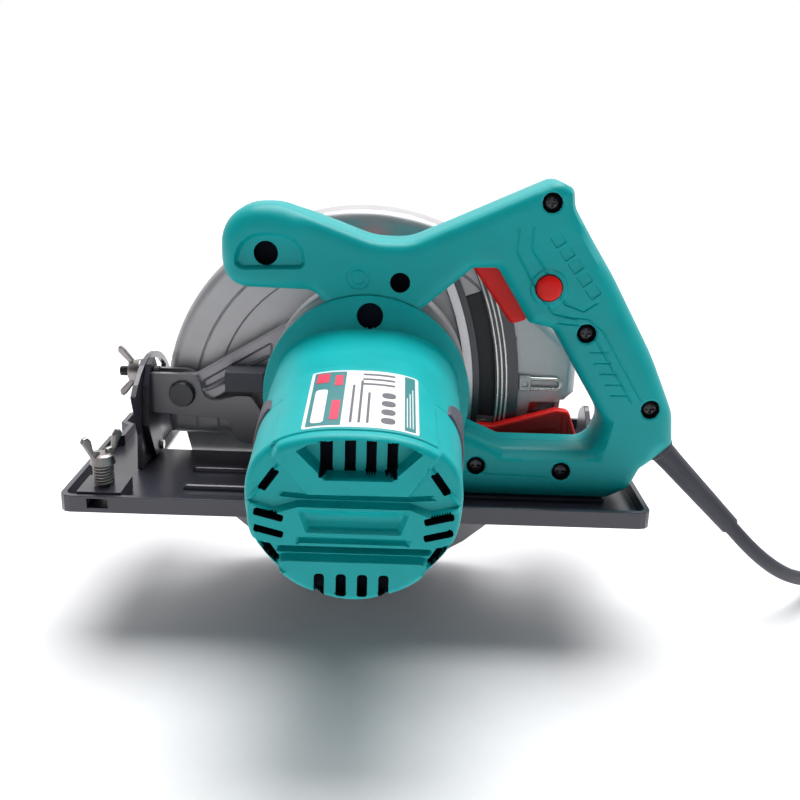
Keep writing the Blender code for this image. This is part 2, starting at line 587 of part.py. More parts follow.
def make_handle():
    """Two halves that meet in the handle's middle plane, hollow around trigger and switch."""
    trigger_space = [(0.0420, 0.1080), (0.0480, 0.1220), (0.0720, 0.1220), (0.0860, 0.0990), (0.0810, 0.0850),
                     (0.0650, 0.0830)]
    lock_space = rod("lock_button_space", "Y", 0.0066, (-0.080, -0.0560), LOCK_BUTTON)
    space = plate("trigger_space", "Y", (HANDLE_MIDDLE - 0.0080, HANDLE_MIDDLE + 0.0080), [trigger_space])
    switch_low = (0.0700, HANDLE_MIDDLE - 0.0090, 0.1125)
    switch_high = (0.0945, HANDLE_MIDDLE + 0.0090, 0.1310)
    switch_space = block("switch_space", switch_low, switch_high)
    collar = rod("case_collar", "Y", CASE_RADIUS + 0.0010, (-0.080, -0.020), (MOTOR_X, MOTOR_Z), steps=40)
    cutters = [collar, space, switch_space, lock_space]
    for index, place in enumerate(HANDLE_SCREWS, 1):
        profile = [(0, -0.0400), (0.0021, -0.0400), (0.0021, -0.0630), (0.0048, -0.0630), (0.0048, -0.0720),
                   (0, -0.0720)]
        cutters.append(turned(f"screw_hole_{index}", "Y", profile, place, steps=12))
        screw = [(0, -0.0420), (0.0018, -0.0420), (0.0018, -0.0633), (0.0042, -0.0633), (0.0042, -0.0655),
                 (0.0030, -0.0668), (0, -0.0668)]
        turned(f"handle_screw_{index}", "Y", screw, place, STEEL, 12)
    for name, span in (("handle_near_half", (HANDLE_NEAR, HANDLE_MIDDLE - GAP / 2)),
                       ("handle_far_half", (HANDLE_MIDDLE + GAP / 2, HANDLE_FAR))):
        cut(plate(name, "Y", span, [handle_outline()], TEAL), *cutters)
    slack = 0.0008
    low, high = (v + slack for v in switch_low), (v - slack for v in switch_high)
    block("switch_body", tuple(low), tuple(high), DARK_PLASTIC)


def make_controls():
    """The trigger, its lock button, the spindle lock and the depth lever with its bolt."""
    outline = filleted([(0.0490, 0.1120, 0.002), (0.0683, 0.0858, 0.003), (0.0750, 0.0880, 0.002),
                        (0.0765, 0.0925, 0), (0.0640, 0.1175, 0), (0.0520, 0.1195, 0)], 45)
    plate("trigger", "Y", (HANDLE_MIDDLE - 0.0074, HANDLE_MIDDLE + 0.0074), [outline], RED, TRIGGER_PIVOT)
    button = [(0, -0.0610), (0.0050, -0.0610), (0.0062, -0.0620), (0.0062, -0.0700), (0.0050, -0.0710),
              (0, -0.0710)]
    turned("lock_button", "Y", button, LOCK_BUTTON, RED, 20)
    stem = [(0, 0.1180), (0.0060, 0.1180), (0.0068, 0.1165), (0.0068, 0.1080), (0.0035, 0.1080),
            (0.0035, 0.0970), (0, 0.0970)]
    turned("spindle_lock_button", "Z", stem, SPINDLE_LOCK, RED, 16)
    lever = filleted([(0.0545, 0.0125, 0.006), (0.0545, 0.0275, 0.006), (0.0660, 0.0262, 0.004),
                      (0.0980, 0.0358, 0.003), (0.1045, 0.0350, 0.003), (0.1100, 0.0200, 0.004),
                      (0.1030, 0.0125, 0.004)], 30)
    hole = circle((CLAMP_X, CLAMP_Z), 0.0040, 14)
    plate("depth_lever", "Y", (-0.0280, -0.0220), [lever, hole], RED, (CLAMP_X, CLAMP_Z))
    bolt = [(0, -0.0159), (0.0062, -0.0159), (0.0062, -0.0176), (0.0037, -0.0176), (0.0037, -0.0283),
            (0.0058, -0.0283), (0.0058, -0.0310), (0, -0.0310)]
    turned("depth_clamp_bolt", "Y", bolt, (CLAMP_X, CLAMP_Z), STEEL, 14)


# Cord

def catmull_rom(a, b, c, d, t):
    """The value between b and c on a curve that also passes a and d."""
    return 0.5 * (2 * b + (c - a) * t + (2 * a - 5 * b + 4 * c - d) * t ** 2 + (3 * b - a - 3 * c + d) * t ** 3)


def smooth_route(points, spacing):
    """Points at an even spacing on a Catmull-Rom curve through the route's points."""
    dense = []
    for index in range(len(points) - 1):
        p0 = points[max(index - 1, 0)]
        p1, p2 = points[index], points[index + 1]
        p3 = points[min(index + 2, len(points) - 1)]
        for step in range(20):
            t = step / 20
            dense.append(tuple(catmull_rom(*values, t) for values in zip(p0, p1, p2, p3)))
    dense.append(points[-1])
    total = sum(math.dist(a, b) for a, b in zip(dense, dense[1:]))
    count = max(2, round(total / spacing))
    route, walked, wanted = [dense[0]], 0.0, total / count
    for a, b in zip(dense, dense[1:]):
        walked += math.dist(a, b)
        if walked >= wanted * len(route) and len(route) < count:
            route.append(b)
    return route + [dense[-1]]


CORD_ROUTE = [
    (0.1850, -0.051, -0.0145), (0.1955, -0.051, -0.0250), (0.2060, -0.0495, -0.0340),
    (0.2165, -0.0450, -0.0415), (0.2265, -0.0370, -0.0480), (0.2355, -0.0265, -0.0535),
    (0.2435, -0.0140, -0.0580), (0.2505, 0.0000, -0.0612), (0.2565, 0.0150, -0.0628),
    (0.2620, 0.0280, -0.0630), (0.2673, 0.0375, -0.0630), (0.2718, 0.0455, -0.0630),
]


def make_cord():
    """The strain relief, the free stretch, the coil on the floor and the plug on the coil."""
    boot = [(0, BOOT_LENGTH), (0.0047, BOOT_LENGTH), (0.0056, 0.012), (0.0060, 0.004), (0.0070, 0.003),
            (0.0070, 0.0004), (0, 0.0004)]
    item = turned("strain_relief", "Z", boot, (0, 0), RUBBER, 20)
    item.location = BOOT_START
    item.rotation_euler = (0, math.radians(135), 0)
    wire("cord_tube", smooth_route(CORD_ROUTE, 0.010), CORD_RADIUS, RUBBER)
    bottom = FLOOR_Z + 0.0002
    top = bottom + COIL_HEIGHT
    edge = 0.003
    coil = [(COIL_INNER, top - edge), (COIL_INNER + edge, top), (COIL_OUTER - edge, top),
            (COIL_OUTER, top - edge), (COIL_OUTER, bottom + edge), (COIL_OUTER - edge, bottom),
            (COIL_INNER + edge, bottom), (COIL_INNER, bottom + edge)]
    turned("cord_coil", "Z", coil, COIL_CENTRE, RUBBER, 36)
    x, y = COIL_CENTRE
    middle = y - 0.040
    body_low = top + GAP
    outline = filleted([(x + 0.018, middle + 0.009, 0.004), (x - 0.004, middle + 0.0175, 0.006),
                        (x - 0.020, middle + 0.0175, 0.003), (x - 0.020, middle - 0.0175, 0.003),
                        (x - 0.004, middle - 0.0175, 0.006), (x + 0.018, middle - 0.009, 0.004)], 30)
    plate("plug_body", "Z", (body_low, body_low + 0.016), [outline], DARK_PLASTIC)
    for index, side in enumerate((-1, 1), 1):
        tip = [(0, x - 0.0203), (0.0024, x - 0.0203), (0.0024, x - 0.0375), (0.0016, x - 0.0390),
               (0, x - 0.0390)]
        turned(f"plug_pin_{index}", "X", tip, (middle + side * 0.0095, body_low + 0.008), STEEL, 12)


clear_scene()
PARTS = make_collection("circular_saw")
CUTTERS = make_collection("cutters")
FRAME = bpy.data.objects.new("saw_frame", None)
FRAME.location = (-(BASE_FRONT + HANDLE_REAR) / 2, -(CAP_END + BASE_FAR) / 2, -FLOOR_Z)
PARTS.objects.link(FRAME)
make_base()
make_guide_clamp()
make_front_bevel_bracket()
make_rear_bracket()
make_hinge_bracket()
make_bevel_clamp()
make_depth_quadrant()
make_upper_guard()
make_lower_guard()
make_blade_train()
make_gear_case()
make_motor()
TOP_FLAT = label_slope()
make_housing(TOP_FLAT)
make_end_cap(TOP_FLAT)
make_handle()
make_controls()
make_cord()
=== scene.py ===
"""Looks of a corded circular saw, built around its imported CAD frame.

Shapes are drawn in the saw's own frame, in millimetres: X to the rear, Y towards the blade
side, Z up, with the origin on the sole below the spindle. `put` carries them to the frame.
"""

import math

import bmesh
import bpy
import numpy as np
from mathutils import Matrix, Vector
from mathutils.geometry import delaunay_2d_cdt
from mathutils.kdtree import KDTree


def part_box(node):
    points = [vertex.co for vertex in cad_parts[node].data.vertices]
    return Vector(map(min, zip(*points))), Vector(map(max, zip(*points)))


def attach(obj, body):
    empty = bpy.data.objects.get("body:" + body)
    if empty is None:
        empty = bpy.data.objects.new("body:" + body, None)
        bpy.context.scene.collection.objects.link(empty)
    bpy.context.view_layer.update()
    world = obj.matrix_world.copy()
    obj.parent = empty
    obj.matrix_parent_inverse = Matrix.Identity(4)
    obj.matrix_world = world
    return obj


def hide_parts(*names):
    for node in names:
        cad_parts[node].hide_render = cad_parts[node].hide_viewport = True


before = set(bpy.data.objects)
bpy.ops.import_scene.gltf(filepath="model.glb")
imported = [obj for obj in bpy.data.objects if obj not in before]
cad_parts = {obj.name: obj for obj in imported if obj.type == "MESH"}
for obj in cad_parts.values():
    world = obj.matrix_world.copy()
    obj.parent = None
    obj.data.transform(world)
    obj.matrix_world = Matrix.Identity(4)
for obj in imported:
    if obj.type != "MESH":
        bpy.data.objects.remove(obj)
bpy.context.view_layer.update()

MM = 0.001
BEARING_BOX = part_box("spindle_bearing_front")
ORIGIN = Vector(((BEARING_BOX[0][0] + BEARING_BOX[1][0]) / 2,
                 (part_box("blade")[0][1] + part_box("blade")[1][1]) / 2,
                 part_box("base_plate")[0][2]))

SPINDLE_Z = 28.9
MOTOR = (3.0, 52.0)
CASE_RADIUS = 47.3
HANDLE_NEAR = -68.0
HANDLE_FAR = -34.0
HANDLE_MIDDLE = -51.0
HALF_SEAM = 0.15
HANDLE_SCREWS = ((81.5, 142.2), (101.4, 84.9), (134.0, 50.0), (55.2, 19.8), (95.3, 18.2))
LOCK_BUTTON = (82.7, 105.2)
CLAMP = (62.0, 20.0)
DEPTH_PIVOT = (-90.0, 39.0)
GUIDE = (-116.5, -78.0)
BEVEL_BOLT = (-23.5, 48.0)
CORD_DIAMETER = 0.0074

CAMERA_TURN = [math.radians(angle) for angle in (17.42, 0.44, 1.95)]
CAMERA_LENS = 42.88
CAMERA_PLACE = Vector((0.01533, -0.48535, 0.1820))


def add(name, data, place=(0, 0, 0)):
    item = bpy.data.objects.new(name, data)
    item.location = place
    bpy.context.scene.collection.objects.link(item)
    return item


# Camera

def make_camera():
    pitch, yaw, roll = CAMERA_TURN
    ahead = math.cos(pitch)
    forward = Vector((math.sin(yaw) * ahead, math.cos(yaw) * ahead, -math.sin(pitch)))
    level = Vector((math.cos(yaw), -math.sin(yaw), 0))
    above = level.cross(forward)
    right = math.cos(roll) * level + math.sin(roll) * above
    up = -math.sin(roll) * level + math.cos(roll) * above
    data = bpy.data.cameras.new("camera")
    data.lens = CAMERA_LENS
    data.clip_start = 0.01
    camera = add("camera", data)
    turn = Matrix((right, up, -forward)).transposed().to_4x4()
    camera.matrix_world = Matrix.Translation(ORIGIN + CAMERA_PLACE) @ turn
    bpy.context.scene.camera = camera


make_camera()


# Materials

PATCH_SCALE = 60
GRAIN_DEPTH = 0.00008


def nodes_of(material):
    tree = material.node_tree
    return tree, tree.nodes["Principled BSDF"]


def node(tree, kind, **values):
    """A new shader node, with the values of its sockets by name."""
    made = tree.nodes.new("ShaderNode" + kind)
    for name, value in values.items():
        made.inputs[name.replace("_", " ")].default_value = value
    return made


def join(source, output, target, socket):
    source.id_data.links.new(source.outputs[output], target.inputs[socket])


def ramp_node(tree, low, high, start=0.0, end=1.0):
    ramp = node(tree, "ValToRGB")
    for element, position, colour in zip(ramp.color_ramp.elements, (start, end), (low, high)):
        element.position = position
        element.color = (*colour, 1)
    return ramp


def surface(name, colour, roughness, metallic=0.0, grain=1400, bump=0.12, tint=0.10, spread=0.08,
            coat=0.0, stretch=(1, 1, 1)):
    """A material with fine grain in its relief, and slow change in its colour and roughness."""
    material = bpy.data.materials.new(name)
    material.use_nodes = True
    tree, shader = nodes_of(material)
    shader.inputs["Metallic"].default_value = metallic
    shader.inputs["Coat Weight"].default_value = coat
    shader.inputs["Coat Roughness"].default_value = 0.25
    place = node(tree, "TexCoord")
    mapping = node(tree, "Mapping", Scale=stretch)
    join(place, "Object", mapping, "Vector")

    slow = node(tree, "TexNoise", Scale=PATCH_SCALE, Detail=5)
    join(mapping, "Vector", slow, "Vector")
    ramp = ramp_node(tree, [c * (1 - tint) for c in colour], [min(1, c * (1 + tint)) for c in colour],
                     0.3, 0.7)
    join(slow, "Fac", ramp, "Fac")
    join(ramp, "Color", shader, "Base Color")
    gloss = node(tree, "MapRange", To_Min=max(0.05, roughness - spread), To_Max=min(1, roughness + spread))
    join(slow, "Fac", gloss, "Value")
    join(gloss, "Result", shader, "Roughness")

    fine = node(tree, "TexNoise", Scale=grain, Detail=3)
    join(mapping, "Vector", fine, "Vector")
    grain_relief = node(tree, "Bump", Strength=bump, Distance=GRAIN_DEPTH)
    join(fine, "Fac", grain_relief, "Height")
    join(grain_relief, "Normal", shader, "Normal")
    return material


TEAL = surface("teal_moulding", (0.0, 0.39, 0.40), 0.42, grain=1600, bump=0.35, tint=0.05)
RED = surface("red_moulding", (0.80, 0.006, 0.004), 0.40, grain=1500, bump=0.2, tint=0.06)
CAST = surface("cast_aluminium", (0.50, 0.485, 0.50), 0.40, 0.4, grain=900, bump=0.5, tint=0.07)
CAST_DARK = surface("grey_casting", (0.34, 0.33, 0.35), 0.38, 0.4, grain=800, bump=0.6, tint=0.10)
PAINTED = surface("black_coated_steel", (0.030, 0.029, 0.044), 0.32, 0.1, grain=700, bump=0.25, tint=0.12,
                  coat=0.5)
ZINC = surface("zinc_plate", (0.60, 0.59, 0.57), 0.28, 1.0, grain=1200, bump=0.3, tint=0.14)
WORN = surface("worn_zinc", (0.30, 0.28, 0.27), 0.38, 1.0, grain=1000, bump=0.5, tint=0.25)
BLACKED = surface("blacked_steel", (0.05, 0.05, 0.055), 0.32, 0.8, grain=1200, bump=0.4, tint=0.15)
BRUSHED = surface("brushed_steel", (0.55, 0.55, 0.56), 0.28, 1.0, grain=700, bump=0.4, tint=0.08,
                  stretch=(0.15, 1, 1))
DARK = surface("black_moulding", (0.018, 0.018, 0.024), 0.5, grain=1300, bump=0.3, tint=0.15)
# Painted shade: a near-black colour put on the faces inside holes, vents and gaps, where shade falls.
HOLE_SHADE = surface("shadowed_inside", (0.002, 0.003, 0.010), 0.9, grain=600, bump=0.1, tint=0.2)
GREY = surface("grey_moulding", (0.085, 0.08, 0.105), 0.5, grain=1300, bump=0.3, tint=0.08)
RUBBER = surface("dark_rubber", (0.050, 0.050, 0.068), 0.55, grain=1800, bump=0.5, tint=0.12)
COPPER = surface("lacquered_copper", (0.70, 0.30, 0.12), 0.35, 1.0, grain=900, bump=0.6, tint=0.12)
IRON = surface("laminated_steel", (0.28, 0.28, 0.30), 0.5, 0.9, grain=900, bump=0.6, stretch=(1, 6, 1))
CARBON = surface("pressed_carbon", (0.02, 0.02, 0.02), 0.65, grain=1500, bump=0.4)
for plastic in (TEAL, RED, HOLE_SHADE):
    nodes_of(plastic)[1].inputs["Specular IOR Level"].default_value = 0.28


def part_cast():
    """Black coating on the bracket's plate, and bare casting on the arm behind it."""
    material = surface("coated_and_bare", (0.02, 0.02, 0.03), 0.34, 0.3, grain=800, bump=0.4)
    tree, shader = nodes_of(material)
    place = node(tree, "TexCoord")
    split = node(tree, "SeparateXYZ")
    edge = ORIGIN.x - 0.1045
    shift = node(tree, "MapRange", From_Min=edge - 0.001, From_Max=edge + 0.001)
    ramp = ramp_node(tree, (0.022, 0.021, 0.032), (0.17, 0.165, 0.178))
    join(place, "Object", split, "Vector")
    join(split, "X", shift, "Value")
    join(shift, "Result", ramp, "Fac")
    join(ramp, "Color", shader, "Base Color")
    return material


HINGE = part_cast()


def speckled():
    """The bright printed scale on the depth quadrant: silver with dark specks."""
    material = surface("scale_strip", (0.62, 0.61, 0.62), 0.35, 0.8, grain=1500, bump=0.3)
    tree, shader = nodes_of(material)
    specks = node(tree, "TexVoronoi", Scale=700)
    ramp = ramp_node(tree, (0.06, 0.06, 0.07), (0.66, 0.65, 0.67), 0.18, 0.34)
    join(specks, "Distance", ramp, "Fac")
    join(ramp, "Color", shader, "Base Color")
    return material


SPECKLED = speckled()


# Geometry in millimetres

def smooth(value):
    value = np.clip(value, 0, 1)
    return value * value * (3 - 2 * value)


def arc(centre, radius, start, end, steps):
    angles = [math.radians(start + (end - start) * step / steps) for step in range(steps + 1)]
    return [(centre[0] + radius * math.cos(a), centre[1] + radius * math.sin(a)) for a in angles]


def circle(centre, radius, steps=28):
    return arc(centre, radius, 0, 360, steps)[:-1]


def filleted(corners, degrees=9):
    """An outline from corners (u, v, radius), with an arc at each corner of some radius."""
    outline = []
    for index, (u, v, radius) in enumerate(corners):
        if radius == 0:
            outline.append((u, v))
            continue
        before = corners[index - 1]
        after = corners[(index + 1) % len(corners)]
        to_before = math.atan2(before[1] - v, before[0] - u)
        to_after = math.atan2(after[1] - v, after[0] - u)
        opening = (to_after - to_before + math.pi) % (2 * math.pi) - math.pi
        reach = radius / math.sin(abs(opening) / 2)
        middle = to_before + opening / 2
        centre = (u + reach * math.cos(middle), v + reach * math.sin(middle))
        sweep = math.degrees(math.pi - abs(opening))
        turn = -1 if opening > 0 else 1
        start = math.degrees(middle + math.pi) - turn * sweep / 2
        outline += arc(centre, radius, start, start + turn * sweep, max(1, math.ceil(sweep / degrees)))
    return outline


def spaced(line, step, closed):
    """Points along a line, no further apart than a step, with its corners kept."""
    points = []
    ends = line[1:] + line[:1] if closed else line[1:]
    for (u0, v0), (u1, v1) in zip(line, ends):
        count = max(1, math.ceil(math.hypot(u1 - u0, v1 - v0) / step))
        points += [(u0 + (u1 - u0) * i / count, v0 + (v1 - v0) * i / count) for i in range(count)]
    return points if closed else points + [line[-1]]


def distance(points, line, closed=True):
    best = np.full(len(points), 1e9)
    ends = line[1:] + line[:1] if closed else line[1:]
    for p, q in zip(line, ends):
        p, along = np.array(p), np.array(q) - np.array(p)
        share = np.clip((points - p) @ along / max(along @ along, 1e-12), 0, 1)
        best = np.minimum(best, np.linalg.norm(points - p - share[:, None] * along, axis=1))
    return best


def inside(points, loop):
    odd = np.zeros(len(points), bool)
    x, y = points[:, 0], points[:, 1]
    for (x0, y0), (x1, y1) in zip(loop, loop[1:] + loop[:1]):
        if y0 != y1:
            odd ^= ((y0 > y) != (y1 > y)) & (x < (x1 - x0) * (y - y0) / (y1 - y0) + x0)
    return odd


class Recess:
    """A sunk panel, or a raised one if its depth is negative, with walls of some width."""

    def __init__(self, loop, depth, wall=0.5):
        self.loop, self.depth, self.wall = loop, depth, wall

    def height(self, points):
        reach = np.where(inside(points, self.loop), distance(points, self.loop), 0)
        return -self.depth * smooth(reach / self.wall)

    def rows(self):
        loop = spaced(self.loop, 0.9, True)
        offsets = [-0.4, self.wall, self.wall + 0.4] + [self.wall / 2] * (self.wall > 0.45)
        return sum((beside(loop, offset, True) for offset in offsets), loop)


class Groove:
    """A groove along a line, or a rib if its depth is negative."""

    def __init__(self, line, width, depth, closed=False):
        self.line, self.width, self.depth, self.closed = line, width, depth, closed

    def height(self, points):
        away = distance(points, self.line, self.closed)
        return -self.depth * smooth(1.25 * (1 - away / (self.width / 2)))

    def rows(self):
        line = spaced(self.line, 0.9, self.closed)
        rows = list(line)
        for offset in (-self.width / 2 - 0.3, -self.width / 2, -self.width / 4, self.width / 4,
                       self.width / 2, self.width / 2 + 0.3):
            rows += beside(line, offset, self.closed)
        return rows


def area(loop):
    return sum(a[0] * b[1] - b[0] * a[1] for a, b in zip(loop, loop[1:] + loop[:1])) / 2


def beside(line, offset, closed):
    """The points of a line moved to its inner side, which is the left of an open line."""
    side = 1 if not closed or area(line) > 0 else -1
    moved = []
    last = len(line) - 1
    for index, (u, v) in enumerate(line):
        a = line[index - 1] if closed or index else line[index]
        b = line[(index + 1) % len(line)] if closed or index < last else line[index]
        du, dv = b[0] - a[0], b[1] - a[1]
        length = math.hypot(du, dv) or 1
        moved.append((u - side * offset * dv / length, v + side * offset * du / length))
    return moved


def face_height(points, boundary, face):
    """How far a face's points lie below its plane: its rounded edge, and its features."""
    rounding, features = face
    radius = rounding(points) if callable(rounding) else np.full(len(points), float(rounding))
    short = np.clip(radius - distance(points, boundary), 0, None)
    height = -(radius - np.sqrt(np.clip(radius ** 2 - short ** 2, 0, None)))
    for feature in features:
        height = height + feature.height(points)
    return height


def relief(outline, low, high, near=(0, ()), far=(0, ()), spacing=2.4, step=1.5):
    """A thick plate as (vertices, faces): its two faces lie at low and high across the plate."""
    boundary = spaced(outline, step, True)
    rows = []
    for rounding, features in (near, far):
        reach = 10.5 if callable(rounding) else rounding
        for angle in (18, 36, 54, 72, 90):
            inset = reach * (1 - math.cos(math.radians(angle)))
            if inset > 0.05:
                rows += beside(boundary, inset, True)
        if reach > 0.05:
            rows += beside(boundary, reach + 0.5, True)
        for feature in features:
            rows += feature.rows()
    kept = []
    row_points = np.array(rows) if rows else np.zeros((0, 2))
    if len(row_points):
        good = inside(row_points, boundary) & (distance(row_points, boundary) > 0.06)
        seen = set()
        for u, v in row_points[good]:
            key = (round(u / 0.22), round(v / 0.22))
            if key not in seen:
                seen.add(key)
                kept.append((u, v))
    close = KDTree(len(kept) + len(boundary))
    for index, (u, v) in enumerate(kept + boundary):
        close.insert((u, v, 0), index)
    close.balance()
    us, vs = [p[0] for p in boundary], [p[1] for p in boundary]
    grid = []
    row, v = 0, min(vs)
    while v < max(vs):
        u = min(us) + (row % 2) * spacing / 2
        while u < max(us):
            grid.append((u, v))
            u += spacing
        v += spacing * 0.866
        row += 1
    grid = np.array(grid)
    grid = grid[inside(grid, boundary)]
    for u, v in grid:
        if close.find((u, v, 0))[2] > spacing * 0.6:
            kept.append((u, v))
    places = [Vector(p) for p in boundary + kept]
    count = len(boundary)
    edges = [(i, (i + 1) % count) for i in range(count)]
    flat, _, triangles, _, _, _ = delaunay_2d_cdt(places, edges, [], 0, 0.0001)
    points = np.array([(p.x, p.y) for p in flat])
    triangles = np.array([t[:3] for t in triangles])
    triangles = triangles[inside(points[triangles].mean(axis=1), boundary)]
    lows = low - face_height(points, boundary, near)
    highs = high + face_height(points, boundary, far)
    size = len(points)
    vertices = np.concatenate([np.column_stack([points, lows]), np.column_stack([points, highs])])
    faces = [tuple(int(i) for i in t) for t in triangles]
    faces += [tuple(int(i) + size for i in t[::-1]) for t in triangles]
    directed = {(int(a), int(b)) for t in triangles for a, b in zip(t, np.roll(t, -1))}
    faces += [(b, a, a + size, b + size) for a, b in directed if (b, a) not in directed]
    return vertices, faces


def put(name, vertices, faces, material, body, sharp=32):
    """A mesh from millimetres in the saw's frame, as a piece that rides on a body."""
    mesh = bpy.data.meshes.new(name)
    mesh.from_pydata([tuple(float(c) * MM for c in v) for v in vertices], [], faces)
    shape = bmesh.new()
    shape.from_mesh(mesh)
    bmesh.ops.remove_doubles(shape, verts=shape.verts, dist=0.000001)
    bmesh.ops.recalc_face_normals(shape, faces=shape.faces)
    shape.to_mesh(mesh)
    shape.free()
    mesh.shade_smooth()
    mesh.set_sharp_from_angle(angle=math.radians(sharp))
    mesh.materials.append(material)
    item = add(name, mesh, ORIGIN)
    if body:
        bpy.context.view_layer.update()
        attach(item, body)
    return item


def side_plate(name, data, material, body, sharp=32):
    """A plate drawn in X and Z, with its thickness along Y."""
    vertices, faces = data
    return put(name, [(u, w, v) for u, v, w in vertices], faces, material, body, sharp)


AXIS = 0.01  # the radius at which a solid turned profile ends


def spin(profile, steps, axis="Y", centre=(0, 0)):
    """A closed profile of (radius, place along the axis), turned, as (vertices, faces)."""
    vertices, faces = [], []
    count = len(profile)
    for step in range(steps):
        a = 2 * math.pi * step / steps
        for radius, along in profile:
            u, v = radius * math.cos(a) + centre[0], radius * math.sin(a) + centre[1]
            vertices.append({"Y": (u, along, v), "Z": (u, v, along), "X": (along, u, v)}[axis])
    for step in range(steps):
        for index in range(count):
            a, b = step * count + index, step * count + (index + 1) % count
            shift = ((step + 1) % steps) * count - step * count
            faces.append((a, b, b + shift, a + shift))
    return vertices, faces


def brick(low, high):
    (x0, y0, z0), (x1, y1, z1) = low, high
    vertices = [(x, y, z) for z in (z0, z1) for y in (y0, y1) for x in (x0, x1)]
    return vertices, [(0, 2, 3, 1), (4, 5, 7, 6), (0, 1, 5, 4), (2, 6, 7, 3), (0, 4, 6, 2), (1, 3, 7, 5)]


def rod(radius, start, end, steps, centre, axis="Y"):
    """A straight round cutter between two places on an axis."""
    return spin([(AXIS, start), (radius, start), (radius, end), (AXIS, end)], steps, axis, centre)


def prism(outline, low, high):
    """A straight plate between two places along Y, as (vertices, faces)."""
    count = len(outline)
    vertices = [(u, w, v) for w in (low, high) for u, v in outline]
    faces = [tuple(range(count))[::-1], tuple(range(count, 2 * count))]
    faces += [(i, (i + 1) % count, (i + 1) % count + count, i + count) for i in range(count)]
    return vertices, faces


def wire(name, points, radius, material, body):
    data = bpy.data.curves.new(name, "CURVE")
    data.dimensions = "3D"
    data.bevel_depth = radius * MM
    data.bevel_resolution = 4
    data.use_fill_caps = True
    spline = data.splines.new("POLY")
    spline.points.add(len(points) - 1)
    for point, place in zip(spline.points, points):
        point.co = (*[c * MM for c in place], 1)
    data.materials.append(material)
    item = add(name, data, ORIGIN)
    bpy.context.view_layer.update()
    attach(item, body)
    return item


def bevelled(item, width):
    """Rounds a piece's edges by modifiers, and leaves its mesh as it is."""
    weld = item.modifiers.new("weld", "WELD")
    weld.merge_threshold = 0.00001
    bevel = item.modifiers.new("round", "BEVEL")
    bevel.width = width * MM
    bevel.segments = 3
    bevel.angle_limit = math.radians(30)
    bevel.use_clamp_overlap = True


def apply_modifiers(item):
    evaluated = item.evaluated_get(bpy.context.evaluated_depsgraph_get())
    mesh = bpy.data.meshes.new_from_object(evaluated)
    item.modifiers.clear()
    item.data = mesh


def carve(item, *cutters, sharp=32):
    """Boolean cuts, applied at once. The cutters are (vertices, faces) in millimetres."""
    for index, (vertices, faces) in enumerate(cutters):
        cutter = put(f"cutter_{index}", vertices, faces, item.data.materials[0], None)
        modifier = item.modifiers.new("cut", "BOOLEAN")
        modifier.operation = "DIFFERENCE"
        modifier.object = cutter
        bpy.context.view_layer.update()
        apply_modifiers(item)
        bpy.data.objects.remove(cutter, do_unlink=True)
    item.data.shade_smooth()
    item.data.set_sharp_from_angle(angle=math.radians(sharp))


def darken_sunk(item, holes, far, near=-1000.0):
    """Gives the faces of holes, between two places along Y, painted shade: a near-black colour for the
    shade inside them.

    The holes come as recesses 1 deep, whatever their real depth.
    """
    item.data.materials.append(HOLE_SHADE)
    points = np.empty(len(item.data.vertices) * 3)
    item.data.vertices.foreach_get("co", points)
    points = points.reshape(-1, 3) / MM
    sunk = np.zeros(len(points), bool)
    for hole in holes:
        sunk |= hole.height(points[:, (0, 2)]) < -0.5
    for face in item.data.polygons:
        if near < face.center[1] / MM < far and any(sunk[index] for index in face.vertices):
            face.material_index = 1


# Cord

CORD_ROUTE = [
    (185.0, -51.0, -14.5), (195.5, -51.0, -25.0), (206.0, -49.5, -34.0),
    (216.5, -45.5, -41.5), (227.2, -38.3, -48.0), (237.6, -29.0, -53.5),
    (247.2, -18.0, -58.0), (256.0, -5.0, -61.2), (263.6, 9.0, -62.8),
    (269.6, 23.0, -63.0), (274.2, 35.0, -63.0), (277.9, 46.0, -63.0),
]
COIL_CENTRE = (331.5, 60.5)
COIL_COLUMNS = (46.1, 38.7, 31.3)
COIL_FLOOR = -62.8
COIL_LAYER = 6.4
COIL_ENTRY = math.radians(194.5)
COIL_TURNS = 7.62
COIL_STEPS = 30  # points in a turn
PLUG_RADIUS = 43.5
PLUG_ENTRY = ((351.5, 21.6, -37.9), (344.3, 20.0, -37.9))
PLUG_HEIGHT = -38.0


def coil_route():
    """Turns of cord, clockwise from above, a layer at a time, and a rise into the plug."""
    outer, _, inner = COIL_COLUMNS
    points = [(282.2, 58.5, -62.9)]
    total = int(COIL_TURNS * COIL_STEPS)
    for step in range(3, total):
        turns = step / COIL_STEPS
        angle = COIL_ENTRY - 2 * math.pi * turns
        layer = min(int(turns // 3), 2)
        across = turns - 3 * layer if layer % 2 == 0 else 3 * layer + 3 - turns
        shift = float(smooth((across - 0.75) / 0.5)) + float(smooth((across - 1.75) / 0.5))
        radius = outer - (outer - inner) / 2 * shift
        height = COIL_FLOOR + COIL_LAYER * layer
        if layer and turns - 3 * layer < 0.2:
            height -= COIL_LAYER * (1 - float(smooth((turns - 3 * layer) / 0.2)))
        rise = float(smooth((step - total + 7) / 7))
        radius += (PLUG_RADIUS - radius) * rise
        height += (PLUG_HEIGHT - height) * rise
        points.append((COIL_CENTRE[0] + radius * math.cos(angle),
                       COIL_CENTRE[1] + radius * math.sin(angle), height))
    return points + list(PLUG_ENTRY)


